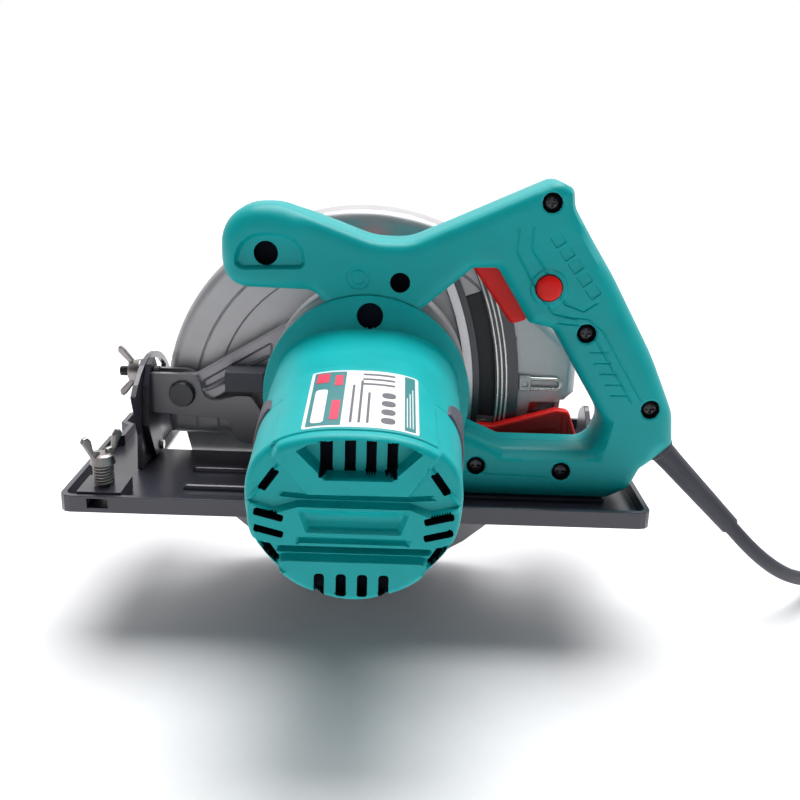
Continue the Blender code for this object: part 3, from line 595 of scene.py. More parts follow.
def make_cord():
    route = CORD_ROUTE + coil_route()
    data = bpy.data.curves.new("mains_cord", "CURVE")
    data.dimensions = "3D"
    data.bevel_depth = CORD_DIAMETER / 2
    data.bevel_resolution = 5
    data.resolution_u = 4
    data.use_fill_caps = True
    spline = data.splines.new("BEZIER")
    spline.bezier_points.add(len(route) - 1)
    for point, place in zip(spline.bezier_points, route):
        point.co = Vector(place) * MM
        point.handle_left_type = "AUTO"
        point.handle_right_type = "AUTO"
    data.materials.append(RUBBER)
    cord = add("mains_cord", data, ORIGIN)
    bpy.context.view_layer.update()
    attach(cord, "saw_body")
    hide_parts("cord_tube", "cord_coil")


make_cord()


# Handle

def handle_outline():
    return filleted([
        (-16.5, 78.0, 4), (-17.0, 100.0, 9), (-63.0, 100.8, 13), (-63.5, 136.5, 18),
        (-37.0, 137.5, 24), (5.0, 122.5, 32), (21.0, 122.5, 24), (84.0, 151.5, 8),
        (91.8, 148.0, 4), (92.5, 140.0, 8), (113.0, 109.5, 80), (134.5, 73.0, 80),
        (146.5, 47.0, 20), (148.3, 31.4, 2), (139.1, 22.2, 2), (133.0, 20.5, 4),
        (128.5, 10.0, 6), (118.0, 4.5, 10), (20.0, 4.5, 1), (20.0, 38.5, 1),
        (48.5, 35.8, 3), (67.0, 27.6, 8), (110.5, 27.6, 9), (114.8, 41.5, 10),
        (87.0, 86.0, 6), (75.5, 88.5, 3), (60.0, 112.7, 3), (49.0, 112.3, 3),
        (24.5, 91.0, 8), (26.5, 80.0, 1)])


def handle_rounding(points):
    """How round the edge is: most on the grip's rear, and more on the horn than on the arm."""
    spine = 90 + (140 - points[:, 1]) * 0.36
    rear = 6.0 * smooth((points[:, 0] - spine) / 8)
    horn = 4.5 * smooth((-22 - points[:, 0]) / 10) * smooth((points[:, 1] - 104) / 8)
    return 4.5 + np.maximum(rear, horn)


def far_rounding(points):
    """The far edges are rounder still, which lowers the arm's ridge to the middle plane."""
    return handle_rounding(points) + 4.0 * smooth((points[:, 1] - 6) / 8)


def grip_lines():
    """The moulded lines of the rear grip: two bent bands, a row of pads and short ribs."""
    lines = [
        Groove([(67.7, 130.2), (67.5, 120.6), (79.2, 101.5), (86.0, 93.6), (96.0, 91.6)], 1.5, 0.5),
        Groove([(74.0, 131.0), (74.0, 122.5), (90.5, 98.2), (99.0, 95.2), (104.5, 99.0)], 1.5, 0.5),
        Groove([(88.0, 89.5), (98.0, 88.8), (103.0, 86.4), (124.5, 54.0)], 1.5, 0.5),
        Groove([(91.0, 92.3), (101.5, 91.8), (108.5, 86.4), (128.6, 55.0)], 1.2, 0.4),
    ]
    for index in range(5):
        u, v = 108.0 + 2.9 * index, 80.0 - 5.0 * index
        lines.append(Groove([(u - 4.0, v - 3.4), (u + 2.6, v - 3.4)], 1.3, 0.4))
    for index in range(5):
        u, v = 84.5 + 4.3 * index, 126.5 - 5.6 * index
        pad = filleted([(u - 3.2, v + 0.6, 0.8), (u + 1.4, v + 3.8, 0.8), (u + 4.8, v - 0.8, 0.8),
                        (u + 0.4, v - 4.2, 0.8)], 45)
        lines.append(Recess(pad, 0.55, 0.5))
    return lines


ARM_HOLE = ((16.8, 105.3), 4.5)
NECK_HOLE = ((3.9, 89.5), 6.0)
HORN_HOLE = ((-42.8, 116.1), 5.4)
SCREW_HOLE = 4.4
MARK = (-1.8, 106.9)


def round_hole(place, radius, depth, wall=0.35):
    return Recess(circle(place, radius), depth, wall)


def handle_near_features():
    features = grip_lines()
    for place in HANDLE_SCREWS:
        features.append(round_hole(place, 5.2, 0.4, 0.6))
        features.append(round_hole(place, SCREW_HOLE, 3.2))
    features.append(round_hole(*ARM_HOLE, 8.5))
    features.append(round_hole(*NECK_HOLE, 8.5))
    features.append(round_hole(MARK, 5.5, 0.5, 0.6))
    features.append(Groove(circle(MARK, 3.2), 1.0, -0.25, True))
    recess = filleted([(-56.5, 108.6, 4), (-25.0, 109.8, 3.5), (-25.5, 124.5, 11), (-57.0, 126.0, 13)])
    features.append(Recess(recess, 3.0, 1.6))
    features.append(round_hole(*HORN_HOLE, 6.0))
    features.append(Recess(circle(LOCK_BUTTON, 8.6), -0.8, 0.8))
    chamfer = [(44.0, 44.0), (66.5, 22.6), (114.0, 23.6), (118.0, 44.0), (80.0, 60.0)]
    features.append(Recess(chamfer, 2.6, 3.4))
    features.append(Groove([(49.0, 16.5), (88.0, 15.0)], 1.2, 0.3))
    return features


def make_handle():
    outline = handle_outline()
    opening = [(42.0, 108.0), (48.0, 122.0), (72.0, 122.0), (86.0, 99.0), (81.0, 85.0), (65.0, 83.0)]
    trigger = prism(opening, HANDLE_MIDDLE - 8.0, HANDLE_MIDDLE + 8.0)
    switch = brick((70.0, -60.0, 112.5), (94.5, -42.0, 131.0))
    collar = rod(CASE_RADIUS + 0.3, -30.0, -75.0, 128, MOTOR)
    lock = rod(6.2, -56.0, -76.0, 40, LOCK_BUTTON)
    near = relief(outline, HANDLE_NEAR, HANDLE_MIDDLE - HALF_SEAM,
                  near=(handle_rounding, handle_near_features()))
    item = side_plate("near_grip_shell", near, TEAL, "saw_body")
    carve(item, collar, trigger, switch, lock)
    holes = [ARM_HOLE, NECK_HOLE, HORN_HOLE] + [(place, SCREW_HOLE) for place in HANDLE_SCREWS]
    # Painted shade: the faces inside the screw holes and the other round holes get the near-black colour.
    darken_sunk(item, [round_hole(place, radius, 1.0) for place, radius in holes], -57.0)
    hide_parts("handle_near_half")
    far = relief(outline, HANDLE_MIDDLE + HALF_SEAM, HANDLE_FAR, far=(far_rounding, grip_lines()))
    item = side_plate("far_grip_shell", far, TEAL, "saw_body")
    carve(item, collar, trigger, switch)
    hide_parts("handle_far_half")


make_handle()


# Motor housing and its cap

TOP_LEVEL = 83.6
KINK = -137.0
CAP_FACE = -186.2
TOP_FALL = math.tan(math.radians(8.1))


def barrel_section(y):
    """Half width, top height and bottom depth of the barrel about the motor's axis."""
    half = float(np.interp(y, (-187, -150, -137, -100, -72), (37.4, 38.9, 39.6, 41.2, 42.0)))
    top = TOP_LEVEL - max(0.0, KINK - y) * TOP_FALL - MOTOR[1]
    return half, top, min(half, 43.0)


def barrel_top(x, y, lift=0.0):
    """The height of the barrel's top surface."""
    half, top, _ = barrel_section(y)
    share = min(0.97, abs(x - MOTOR[0]) / half)
    return MOTOR[1] + top * (1 - share ** 2.5) ** (1 / 2.5) + lift


def section_loop(half, top, bottom, steps=128):
    """A closed loop that is round below the motor's axis, and flatter above it."""
    loop = []
    for step in range(steps):
        a = 2 * math.pi * step / steps
        c, n = math.cos(a), math.sin(a)
        if n >= 0:
            u = half * math.copysign(abs(c) ** (2 / 2.5), c)
            loop.append((MOTOR[0] + u, MOTOR[1] + top * n ** (2 / 2.5)))
        else:
            loop.append((MOTOR[0] + half * c, MOTOR[1] + bottom * n))
    return loop


def loft(rings):
    """Closed skin through rings of points of the same count, each as (loop in X and Z, y)."""
    vertices = [(u, y, v) for loop, y in rings for u, v in loop]
    count = len(rings[0][0])
    faces = [tuple(range(count)), tuple(range((len(rings) - 1) * count, len(rings) * count))[::-1]]
    for row in range(len(rings) - 1):
        for i in range(count):
            j = (i + 1) % count
            faces.append((row * count + i, row * count + j, (row + 1) * count + j, (row + 1) * count + i))
    return vertices, faces


def make_housing():
    rings = [(circle(MOTOR, r, 128), y) for r, y in
             ((46.5, -66.0), (47.1, -66.3), (47.3, -66.9), (47.3, -68.6), (47.0, -69.3), (46.4, -69.6))]
    rings.append((section_loop(*[c + 2.0 for c in barrel_section(-72)]), -69.6))
    rings.append((section_loop(*[c + 0.5 for c in barrel_section(-72)]), -70.3))
    for y in (-72.0, -76.0, -82.0, -90.0, -100.0, -110.0, -120.0, -128.0, -134.0, -136.0, -138.0,
              -141.0, -145.0, -149.7):
        rings.append((section_loop(*barrel_section(y)), y))
    rings.append((section_loop(*[c - 0.3 for c in barrel_section(-150)]), -150.0))
    item = put("motor_shell", *loft(rings), TEAL, "saw_body")
    bore = rod(30.6, -65.0, -152.0, 96, MOTOR)
    mouth = rod(39.8, -64.0, -66.5, 96, MOTOR)
    hole = rod(5.9, -67.0, -75.0, 40, (3.9, 90.3))
    carve(item, bore, mouth, hole)
    # Painted shade: the faces inside the neck's hole get the near-black colour.
    darken_sunk(item, [round_hole((3.9, 90.3), 5.95, 1.0, 0.05)], -66.6, -69.3)
    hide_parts("motor_housing")
    for name, side in (("front", -1), ("rear", 1)):
        outline = filleted([(-26.0, -149.7, 1), (25.0, -149.7, 1), (24.0, -140.0, 4), (9.0, -119.0, 2),
                            (-26.0, -119.0, 2)], 30)
        grip = Groove([(-22.0, -145.8), (17.0, -145.8)], 1.6, 0.6)
        vertices, faces = relief(outline, -1.2, 0.9, far=(0.7, [grip]), spacing=2.2, step=1.2)
        placed = []
        for u, y, w in vertices:
            half, top, bottom = [c + w for c in barrel_section(y)]
            a = u / half
            if a > 0:
                across, up = half * math.cos(a) ** 0.8, top * math.sin(a) ** 0.8
            else:
                across, up = half * math.cos(a), bottom * math.sin(a)
            placed.append((MOTOR[0] + side * across, y, MOTOR[1] + up))
        cover = put(f"side_cover_{name}", placed, faces, GREY, "saw_body")
        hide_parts(f"brush_cover_{name}")
    roof_outline = filleted([(-19.0, -133.5, 3), (25.0, -133.5, 3), (31.0, -150.0, 6), (31.5, -186.0, 1.5),
                             (-25.5, -186.0, 1.5), (-25.0, -150.0, 6)], 30)
    vertices, faces = relief(roof_outline, 0, 1.2, far=(0.9, ()), spacing=2.5)
    raised = [(u, v, barrel_top(u, v, w - 0.35)) for u, v, w in vertices]
    put("label_roof", raised, faces, TEAL, "saw_body")


make_housing()


CAP_MIDDLE = 3.3
CAP_BACK = -150.3


def cap_slots():
    """The vent openings of the cap's face: short bars at the sides, and four at the bottom."""
    slots = []
    for side in (-1, 1):
        def bar(u0, v0, u1, v1, width):
            u0, u1 = CAP_MIDDLE + side * u0, CAP_MIDDLE + side * u1
            along = math.hypot(u1 - u0, v1 - v0)
            nu, nv = -(v1 - v0) / along * width / 2, (u1 - u0) / along * width / 2
            corners = [(u0 + nu, v0 + nv, 0.7), (u1 + nu, v1 + nv, 0.7), (u1 - nu, v1 - nv, 0.7),
                       (u0 - nu, v0 - nv, 0.7)]
            return filleted(corners, 45)
        slots += [bar(34.0, 48.2, 24.0, 45.6, 2.6), bar(34.0, 42.2, 24.0, 39.6, 2.6)]
        slots += [bar(31.8, 55.0, 26.6, 62.4, 3.0), bar(31.4, 36.2, 26.6, 28.8, 3.0)]
    for u in (-8.4, -0.8, 6.6, 14.0):
        slots.append(filleted([(u - 1.8, 16.6, 0.8), (u + 1.8, 16.6, 0.8), (u + 1.8, 25.2, 1.2),
                               (u - 1.8, 25.2, 1.2)], 45))
    return slots


WINDOW = [(-16.3, 70.6), (-12.0, 73.0), (-4.0, 74.6), (4.6, 75.1), (13.0, 74.6), (21.5, 73.0),
          (26.0, 70.6), (15.9, 60.6), (-6.6, 60.4)]
WINDOW_GAPS = ((-8.7, -4.4), (-0.4, 3.4), (6.9, 10.4), (14.0, 17.6))


def window_gaps():
    return [[(a, 61.4), (b, 61.4), (b, 74.3), (a, 74.3)] for a, b in WINDOW_GAPS]


def cap_features():
    bezel = filleted([(-25.5, 67.6, 1), (-20.5, 80.0, 1), (29.0, 80.0, 1), (33.0, 70.0, 1),
                      (22.4, 53.9, 1.5), (-13.0, 53.6, 1.5)], 45)
    band = filleted([(-34.0, 51.5, 1), (-24.0, 48.6, 1), (-16.0, 51.4, 1), (22.5, 51.4, 1),
                     (29.5, 48.6, 1), (40.5, 51.5, 1), (40.5, 37.4, 1), (30.0, 34.6, 1),
                     (-23.0, 34.6, 1), (-34.0, 37.4, 1)], 45)
    panel = filleted([(-16.0, 49.2, 1), (22.5, 49.2, 1), (19.5, 40.6, 1), (-13.0, 40.6, 1)], 45)
    dome = filleted([(-24.0, 31.4, 3), (30.0, 31.4, 3), (28.0, 20.0, 8), (CAP_MIDDLE, 12.0, 20),
                     (-22.0, 20.0, 8)], 20)
    features = [
        Recess(bezel, -4.2, 1.6), Recess(WINDOW, 7.0, 0.9),
        Recess(band, -3.2, 1.3), Recess(panel, 2.2, 1.8), Recess(dome, -2.8, 1.8),
        Groove([(-15.0, 38.0), (21.0, 38.0)], 2.4, 1.8), Groove([(-11.0, 45.0), (17.5, 45.0)], 5.4, 0.9),
        Groove([(-21.0, 53.4), (-13.0, 52.8), (22.0, 52.8), (29.0, 53.4)], 2.0, 1.9),
        Groove([(-22.0, 33.0), (29.0, 33.0)], 2.4, 4.0),
    ]
    features += [Recess(slot, 5.0, 0.35) for slot in cap_slots()]
    features += [Recess(gap, 3.4, 0.35) for gap in window_gaps()]
    for side in (-1, 1):
        for (u0, v0), (u1, v1) in (((35.5, 51.6), (25.0, 65.0)), ((35.0, 37.2), (24.4, 25.4))):
            edge = [(CAP_MIDDLE + side * u0, v0), (CAP_MIDDLE + side * u1, v1)]
            features.append(Groove(edge, 1.6, -1.2))
    return features


def make_cap():
    half, top, bottom = barrel_section(CAP_FACE)
    outline = section_loop(half, top, bottom, 120)
    data = relief(outline, CAP_FACE, CAP_BACK, near=(2.6, cap_features()), spacing=2.0, step=1.2)
    wide, high, low = [a / b for a, b in zip(barrel_section(CAP_BACK), (half, top, bottom))]
    vertices = []
    for u, v, w in data[0]:
        share = min(1.0, max(0.0, (w - CAP_FACE) / (CAP_BACK - CAP_FACE)))
        tall = high if v > MOTOR[1] else low
        vertices.append((MOTOR[0] + (u - MOTOR[0]) * (1 + (wide - 1) * share),
                         MOTOR[1] + (v - MOTOR[1]) * (1 + (tall - 1) * share), w))
    item = side_plate("vented_cap", (vertices, data[1]), TEAL, "saw_body", 38)
    # Painted shade: the faces inside the vent slots and the window's gaps get the near-black colour.
    deep = [Recess(slot, 1.0, 0.35) for slot in cap_slots() + window_gaps()]
    darken_sunk(item, deep, -160.0)
    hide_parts("end_cap")


make_cap()


# Label, with colour blocks and bars only

def flat_colour(name, colour, roughness=0.35):
    return surface(name, colour, roughness, grain=900, bump=0.05, tint=0.03, spread=0.04, coat=0.2)


LABEL_WHITE = flat_colour("label_white", (0.80, 0.81, 0.82))
LABEL_TEAL = flat_colour("label_teal", (0.02, 0.20, 0.21))
LABEL_RED = flat_colour("label_red", (0.72, 0.02, 0.08))
LABEL_INK = flat_colour("label_ink", (0.10, 0.10, 0.12))


def label_patch(name, low, high, lift, material, radius=0.4):
    """A thin printed patch that follows the roof, between two corners in X and Y."""
    (u0, v0), (u1, v1) = low, high
    outline = filleted([(u0, v0, radius), (u1, v0, radius), (u1, v1, radius), (u0, v1, radius)], 30)
    vertices, faces = relief(outline, lift, lift + 0.06, spacing=2.6, step=1.3)
    placed = [(u, v, barrel_top(u, v, w + 0.85)) for u, v, w in vertices]
    return put(name, placed, faces, material, "saw_body")


def make_label():
    label_patch("label_sheet", (-15.2, -184.6), (24.6, -138.5), 0.02, LABEL_WHITE, 1.2)
    label_patch("label_band_front", (-14.0, -183.4), (-2.2, -139.7), 0.10, LABEL_TEAL)
    label_patch("label_band_rear", (19.6, -183.4), (23.4, -139.7), 0.10, LABEL_TEAL)
    label_patch("label_flag", (-13.0, -149.0), (-8.4, -141.0), 0.18, LABEL_RED)
    label_patch("label_tab_1", (-6.2, -152.0), (-3.2, -143.0), 0.18, LABEL_RED)
    label_patch("label_tab_2", (-6.2, -179.4), (-3.2, -164.4), 0.18, LABEL_RED)
    label_patch("label_stroke", (-12.6, -181.4), (-8.2, -155.0), 0.18, LABEL_WHITE, 1.5)
    for index, length in enumerate((30.0, 34.0, 24.0)):
        u = 0.6 + 2.9 * index
        label_patch(f"label_line_{index + 1}", (u, -181.4), (u + 0.9, -181.4 + length), 0.10, LABEL_INK)
    for index in range(4):
        v = -181.0 + 6.6 * index
        label_patch(f"label_block_{index + 1}", (11.4, v), (16.4, v + 4.4), 0.10, LABEL_INK, 1.8)
    for index in range(3):
        v = -153.0 + 4.2 * index
        label_patch(f"label_mark_{index + 1}", (4.0, v + 2.0), (16.0, v + 3.4), 0.10, LABEL_INK)
    for index in range(3):
        u = 20.3 + 1.0 * index
        label_patch(f"label_rule_{index + 1}", (u, -181.0), (u + 0.35, -158.0 + 4.0 * index), 0.18,
                    LABEL_WHITE, 0.1)


make_label()


# Castings

def guard_outline(inset, mouth):
    rear, floor = 109.0 - inset, 36.0 + inset
    start = math.degrees(math.asin((15.0 - SPINDLE_Z) / 102.0))
    points = arc((0, SPINDLE_Z), 102.0 - inset, 180 - start, 32, 80)
    points += [(rear, 64.0), (rear, floor + 5.0), (rear - 5.0, floor), (102.5 - inset, floor)]
    points += [(100.5 - inset, mouth), (-100.5 + inset, mouth)]
    return points


def make_upper_guard():
    hub = (0, SPINDLE_Z)
    features = [
        Groove(arc(hub, 86.5, 188, 30, 90), 1.5, 0.7),
        Recess(circle(hub, 77.0, 90), 0.9, 1.6),
        Groove(arc(hub, 76.0, 188, 30, 90), 1.4, -0.5),
        Recess(circle(hub, 61.0, 72), -1.2, 2.2),
        Groove(arc(hub, 59.5, 188, 20, 72), 1.2, 0.4),
    ]
    data = relief(guard_outline(0, 12.0), -15.5, 14.0, near=(5.5, features), far=(4.0, features[:3]),
                  spacing=4.0)
    item = side_plate("ringed_guard", data, CAST, "saw_body")
    cavity = prism(guard_outline(2.9, -10.0), -12.7, 11.2)
    bore = rod(20.2, -5.0, -30.0, 64, hub)
    window = rod(24.0, 30.0, 5.0, 64, hub)
    corner = prism([(79.0, 0.0), (86.0, 36.0), (120.0, 36.0), (120.0, 0.0)], -30.0, -12.5)
    carve(item, cavity, bore, window, corner, sharp=35)
    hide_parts("upper_guard")


make_upper_guard()


def make_gear_case():
    far, near = -15.8, -62.0
    bowl = [(AXIS, far), (38.0, far), (41.0, far - 1.0), (46.3, far - 7.0), (CASE_RADIUS, far - 9.0),
            (CASE_RADIUS, -44.0), (46.6, -44.8), (46.6, -47.6), (CASE_RADIUS, -48.4),
            (CASE_RADIUS, near + 0.6), (46.7, near), (43.8, near), (43.8, far - 10.5),
            (37.0, far - 3.5), (AXIS, far - 3.5)]
    item = put("gear_bowl", *spin(bowl, 128, centre=MOTOR), CAST, "saw_body")
    spindle = rod(8.5, -5.0, -30.0, 48, (0, SPINDLE_Z))
    lock = rod(3.9, 110.0, 85.0, 32, (3.0, -25.0), "Z")
    carve(item, spindle, lock)
    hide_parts("gear_case")
    arm = filleted([(-98.0, 31.0, 7.5), (-98.0, 47.0, 7.5), (-84.0, 48.0, 4), (-37.5, 76.0, 1),
                    (-42.3, 60.0, 1), (-42.7, 48.0, 1), (-65.0, 42.0, 3), (-82.0, 31.0, 6)])
    web = filleted([(-80.0, 38.5, 2), (-81.0, 45.0, 2), (-44.5, 67.0, 1.5), (-45.5, 60.0, 1),
                    (-46.0, 51.0, 1.5), (-66.0, 45.0, 2)], 20)
    features = [Recess(web, 2.0, 1.4), Groove([(-80.0, 40.0), (-48.0, 58.0)], 2.2, -1.2)]
    data = relief(arm, -26.7, -20.3, near=(0.7, features), far=(0.7, ()), spacing=2.0, step=1.2)
    bracket = side_plate("case_arm", data, CAST_DARK, "saw_body")
    pivot = rod(4.3, -10.0, -40.0, 40, DEPTH_PIVOT)
    carve(bracket, pivot)


make_gear_case()


# Controls

def make_controls():
    trigger = filleted([(49.0, 112.0, 2), (68.3, 85.8, 3), (75.0, 88.0, 2), (76.5, 92.5, 1),
                        (64.0, 117.5, 1), (52.0, 119.5, 1)], 15)
    data = relief(trigger, HANDLE_MIDDLE - 7.4, HANDLE_MIDDLE + 7.4, near=(1.8, ()), far=(1.8, ()),
                  spacing=2, step=1.2)
    item = side_plate("finger_trigger", data, RED, "trigger")
    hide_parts("trigger")
    button = [(AXIS, -61.0), (4.6, -61.0), (5.7, -62.0), (5.7, -69.6), (5.4, -70.4), (4.7, -70.9),
              (3.2, -71.1), (AXIS, -71.2)]
    item = put("lock_knob", *spin(button, 48, centre=LOCK_BUTTON), RED, "lock_button")
    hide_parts("lock_button")
    lever = filleted([(54.5, 12.5, 6), (54.5, 27.5, 6), (66.0, 26.2, 4), (98.0, 35.8, 3), (104.5, 35.0, 3),
                      (110.0, 20.0, 4), (103.0, 12.5, 4)], 15)
    features = [Groove([(68.0, 19.0), (98.0, 24.0)], 5.0, 0.8),
                Groove([(101.0, 15.5), (101.0, 32.5)], 1.2, 0.5),
                Groove([(104.0, 15.5), (104.0, 32.0)], 1.2, 0.5)]
    data = relief(lever, -28.0, -22.0, near=(1.6, features), far=(1.2, ()), spacing=2.2, step=1.2)
    item = side_plate("depth_handle", data, RED, "depth_lever")
    carve(item, rod(4.0, -15.0, -35.0, 40, CLAMP))
    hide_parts("depth_lever")


make_controls()


def cross_recess(centre, low, high, size, wide):
    """The two arms of a cross-head recess, as cutters."""
    return [brick((centre[0] - a, low, centre[1] - b), (centre[0] + a, high, centre[1] + b))
            for a, b in ((size, wide), (wide, size))]


def make_screws():
    for index, place in enumerate(HANDLE_SCREWS, 1):
        profile = [(AXIS, -46.0), (1.8, -46.0), (1.8, -63.6), (3.7, -63.6), (3.8, -64.4), (3.4, -65.5),
                   (2.4, -66.3), (AXIS, -66.6)]
        item = put(f"grip_screw_{index}", *spin(profile, 40, centre=place), BLACKED, "saw_body")
        carve(item, *cross_recess(place, -67.5, -65.0, 2.1, 0.65))
        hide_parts(f"handle_screw_{index}")


make_screws()


# Depth quadrant and brackets

def ring_band(inner, outer, start, end):
    """The outline of a band about the depth pivot, between two angles."""
    return arc(DEPTH_PIVOT, outer, start, end, 50) + arc(DEPTH_PIVOT, inner, end, start, 50)


def make_quadrant():
    """The printed scale on the quadrant, the bright ribs beside its slot and a dark strip of painted shade
    seen through the slot.
    """
    reach = math.hypot(CLAMP[0] - DEPTH_PIVOT[0], CLAMP[1] - DEPTH_PIVOT[1])
    rest = math.degrees(math.atan2(CLAMP[1] - DEPTH_PIVOT[1], CLAMP[0] - DEPTH_PIVOT[0]))
    data = relief(ring_band(141.3, 145.6, -9.5, 28), -20.9, -20.55, near=(0.1, ()), spacing=3)
    side_plate("depth_scale", data, SPECKLED, "tilt_frame")
    for index, radius in enumerate((reach + 5.2, reach + 7.4, reach + 9.6)):
        rib = ring_band(radius - 0.6, radius + 0.6, rest + 1, 28)
        data = relief(rib, -21.3, -20.55, near=(0.4, ()), spacing=3)
        side_plate(f"quadrant_rib_{index + 1}", data, ZINC, "tilt_frame")
    # Painted shade: a dark strip on the guard's near face, where the quadrant's slot shows shade behind
    # it.
    data = relief(ring_band(147.5, 159.0, rest + 3, 20), -16.4, -15.3, near=(0.3, ()), spacing=3)
    side_plate("guard_slot_shade_strip", data, DARK, "saw_body")


make_quadrant()


def make_chrome_lug():
    """The bright clip on the guard's rear panel: a bent wire loop in a small block."""
    low, high, y = 43.6, 49.0, -18.2
    loop = [(83.0, y, low)] + [(97.6 + 2.7 * math.cos(a), y, 46.3 + 2.7 * math.sin(a))
                               for a in np.linspace(-math.pi / 2, math.pi / 2, 13)] + [(83.0, y, high)]
    wire("spanner_clip", loop, 0.95, ZINC, "saw_body")
    block = filleted([(79.0, 42.4, 1), (85.5, 42.4, 1), (85.5, 50.2, 1), (79.0, 50.2, 1)], 30)
    socket = Recess(circle((82.2, 46.3), 1.8), 0.8, 0.4)
    data = relief(block, -19.6, -15.9, near=(0.8, [socket]), spacing=1.4, step=0.8)
    side_plate("spanner_block", data, CAST, "saw_body")


make_chrome_lug()


# Wing nuts, springs and the finish of the pieces kept from the CAD

def wing(sign, out, top):
    """One wing of a wing nut, seen flat."""
    points = ((1.8, -2.5), (5.2, -1.2), (out - 1.5, top - 4.5), (out, top - 2.0), (out - 0.6, top),
              (out - 2.8, top + 0.4), (out - 4.6, top - 1.6), (5.0, 3.6), (1.8, 3.2))
    return [(sign * u, v) for u, v in points]


def make_wings(name, body, turn, place, out, top):
    """Two wings about a hub. `place` takes (across, through the wing, up) to the saw's frame."""
    c, n = math.cos(math.radians(turn)), math.sin(math.radians(turn))
    for index, sign in enumerate((-1, 1), 1):
        vertices, faces = relief(wing(sign, out, top), -1.3, 1.3, near=(0.8, ()), far=(0.8, ()),
                                 spacing=1.4, step=0.7)
        placed = [place(u * c - w * n, u * n + w * c, v) for u, v, w in vertices]
        put(f"{name}_{index}", placed, faces, WORN, body)


def helix(radius, bottom, top, turns, steps):
    """Points of a coil about the guide's bolt, with so many steps in each turn."""
    points = []
    for step in range(turns * steps + 1):
        a = 2 * math.pi * step / steps
        height = bottom + (top - bottom) * step / (turns * steps)
        points.append((GUIDE[0] + radius * math.cos(a), GUIDE[1] + radius * math.sin(a), height))
    return points


def make_guide_clamp():
    x, y = GUIDE
    hub = [(AXIS, 24.5), (3.8, 24.5), (5.0, 23.6), (5.8, 19.6), (5.2, 19.3), (2.4, 19.3), (2.4, 7.2),
           (AXIS, 7.2)]
    item = put("guide_thumb_bolt", *spin(hub, 48, "Z", GUIDE), WORN, "guide_bolt")
    make_wings("guide_wing", "guide_bolt", 50, lambda u, w, v: (x + u, y + w, 23.0 + v), 10.5, 10.5)
    wire("guide_thread", helix(2.4, 8.0, 19.0, 8, 20), 0.35, WORN, "guide_bolt")
    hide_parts("guide_wing_bolt")
    coil = wire("guide_coil_spring", helix(4.2, 9.7, 18.4, 6, 24), 0.6, WORN, "base")
    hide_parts("guide_spring")


make_guide_clamp()


def make_bevel_nut():
    y, z = BEVEL_BOLT
    hub = [(2.8, -111.3), (6.0, -111.3), (6.3, -111.9), (5.4, -116.6), (4.6, -117.5), (2.8, -117.5)]
    item = put("bevel_thumb_nut", *spin(hub, 48, "X", BEVEL_BOLT), WORN, "bevel_nut")
    make_wings("bevel_wing", "bevel_nut", 0, lambda u, w, v: (-115.5 - 0.7 * v, y + w, z + u), 13.0, 10.0)
    carve(item, rod(2.8, -125.0, -105.0, 32, BEVEL_BOLT, "X"))
    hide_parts("bevel_wing_nut")


make_bevel_nut()


def make_sole_ribs():
    """Pressed ribs along the tray of the sole, in front of the blade slot."""
    for index, y in enumerate((-40.0, -63.0)):
        outline = filleted([(-84.0, y - 2.6, 2.4), (118.0, y - 2.6, 2.4), (118.0, y + 2.6, 2.4),
                            (-84.0, y + 2.6, 2.4)], 20)
        vertices, faces = relief(outline, 1.9, 4.4, far=(2.2, ()), spacing=4)
        put(f"sole_rib_{index + 1}", vertices, faces, PAINTED, "base")


make_sole_ribs()

KEPT = {
    PAINTED: ("base_plate", "guide_saddle", "front_bevel_bracket", "rear_tilt_bracket", "depth_quadrant",
              "lower_guard_knob"),
    HINGE: ("front_hinge_bracket",),
    BLACKED: ("depth_pivot_pin", "bevel_bolt"),
    CAST: ("lower_guard", "bearing_retainer", "bearing_plate"),
    ZINC: ("front_tilt_pin", "rear_tilt_pin", "spindle", "spindle_gear",
           "outer_flange", "arbor_bolt", "spindle_bearing_front", "spindle_bearing_rear",
           "guard_return_spring", "armature_shaft", "motor_bearing_front", "motor_bearing_rear",
           "depth_clamp_bolt", "plug_pin_1", "plug_pin_2"),
    BRUSHED: ("blade",),
    RED: ("spindle_lock_button",),
    DARK: ("cooling_fan", "switch_body", "plug_body"),
    RUBBER: ("rubber_bumper", "strain_relief"),
    COPPER: ("armature",),
    IRON: ("field_stator",),
    CARBON: ("carbon_brush_front", "carbon_brush_rear"),
}
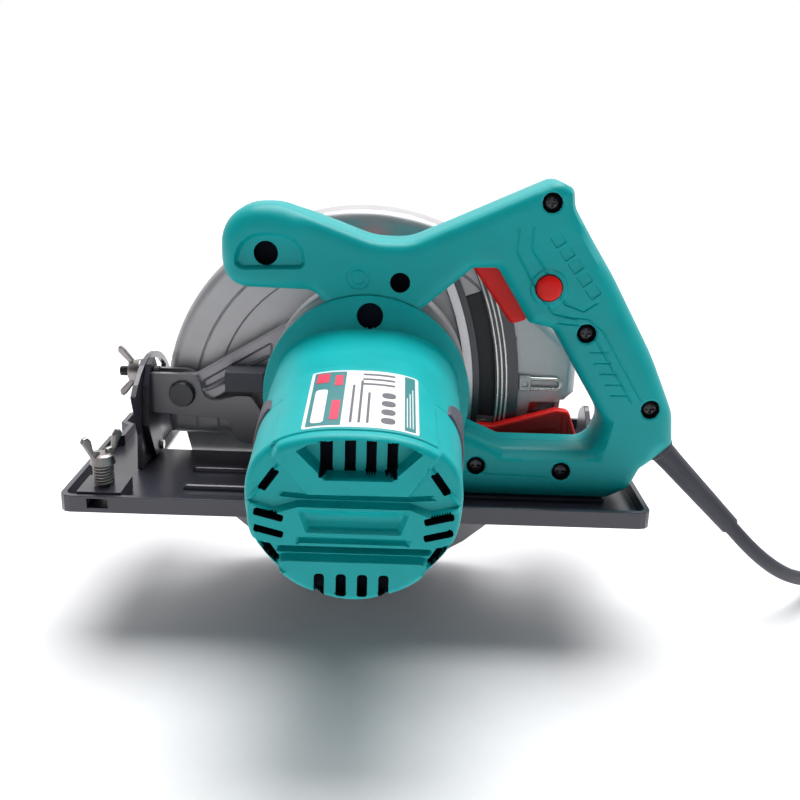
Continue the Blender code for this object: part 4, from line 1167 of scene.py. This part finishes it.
ROUNDING = {"base_plate": 0.5, "front_bevel_bracket": 0.5, "front_hinge_bracket": 0.4, "plug_body": 2.5,
            "rubber_bumper": 0.6, "strain_relief": 0.6}


def finish_kept_nodes():
    for material, names in KEPT.items():
        for name in names:
            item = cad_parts[name]
            item.data.materials.clear()
            item.data.materials.append(material)
            if name != "guard_return_spring":
                bevelled(item, ROUNDING.get(name, 0.25))


finish_kept_nodes()


# Floor and light

FLOOR_HALF = 4.0
SUN_POWER = 3.9
FILL_POWER = 0.8


def make_world():
    """Dim light from the front, rising to white behind the saw."""
    world = bpy.data.worlds.new("studio")
    bpy.context.scene.world = world
    world.use_nodes = True
    tree = world.node_tree
    background = tree.nodes["Background"]
    background.inputs["Strength"].default_value = 1.0
    place = node(tree, "TexCoord")
    split = node(tree, "SeparateXYZ")
    shift = node(tree, "MapRange", From_Min=-1)
    ramp = ramp_node(tree, (0.05, 0.05, 0.06), (1.0, 1.0, 1.0), 0.35, 0.80)
    join(place, "Generated", split, "Vector")
    join(split, "Y", shift, "Value")
    join(shift, "Result", ramp, "Fac")
    join(ramp, "Color", background, "Color")


def make_stage():
    floor_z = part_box("lower_guard")[0][2]
    mesh = bpy.data.meshes.new("floor")
    corners = [(u * FLOOR_HALF, v * FLOOR_HALF, floor_z) for u, v in ((-1, -1), (1, -1), (1, 1), (-1, 1))]
    mesh.from_pydata(corners, [], [(0, 1, 2, 3)])
    mesh.materials.append(surface("pale_floor", (0.86, 0.86, 0.87), 0.6, grain=300, bump=0.02, tint=0.01))
    add("floor", mesh)
    make_world()
    sun = bpy.data.lights.new("overhead_softbox", "SUN")
    sun.energy = SUN_POWER
    sun.angle = math.radians(50)
    add("overhead_softbox", sun).rotation_euler = (math.radians(-15), math.radians(5), 0)
    fill = bpy.data.lights.new("front_fill", "AREA")
    fill.shape = "SQUARE"
    fill.size = 0.9
    fill.energy = FILL_POWER
    lamp = add("front_fill", fill, (-0.3, -1.3, 0.55))
    lamp.rotation_euler = (Vector((0, 0, 0.1)) - lamp.location).to_track_quat("-Z", "Y").to_euler()
    bpy.context.scene.view_settings.view_transform = "Standard"


make_stage()
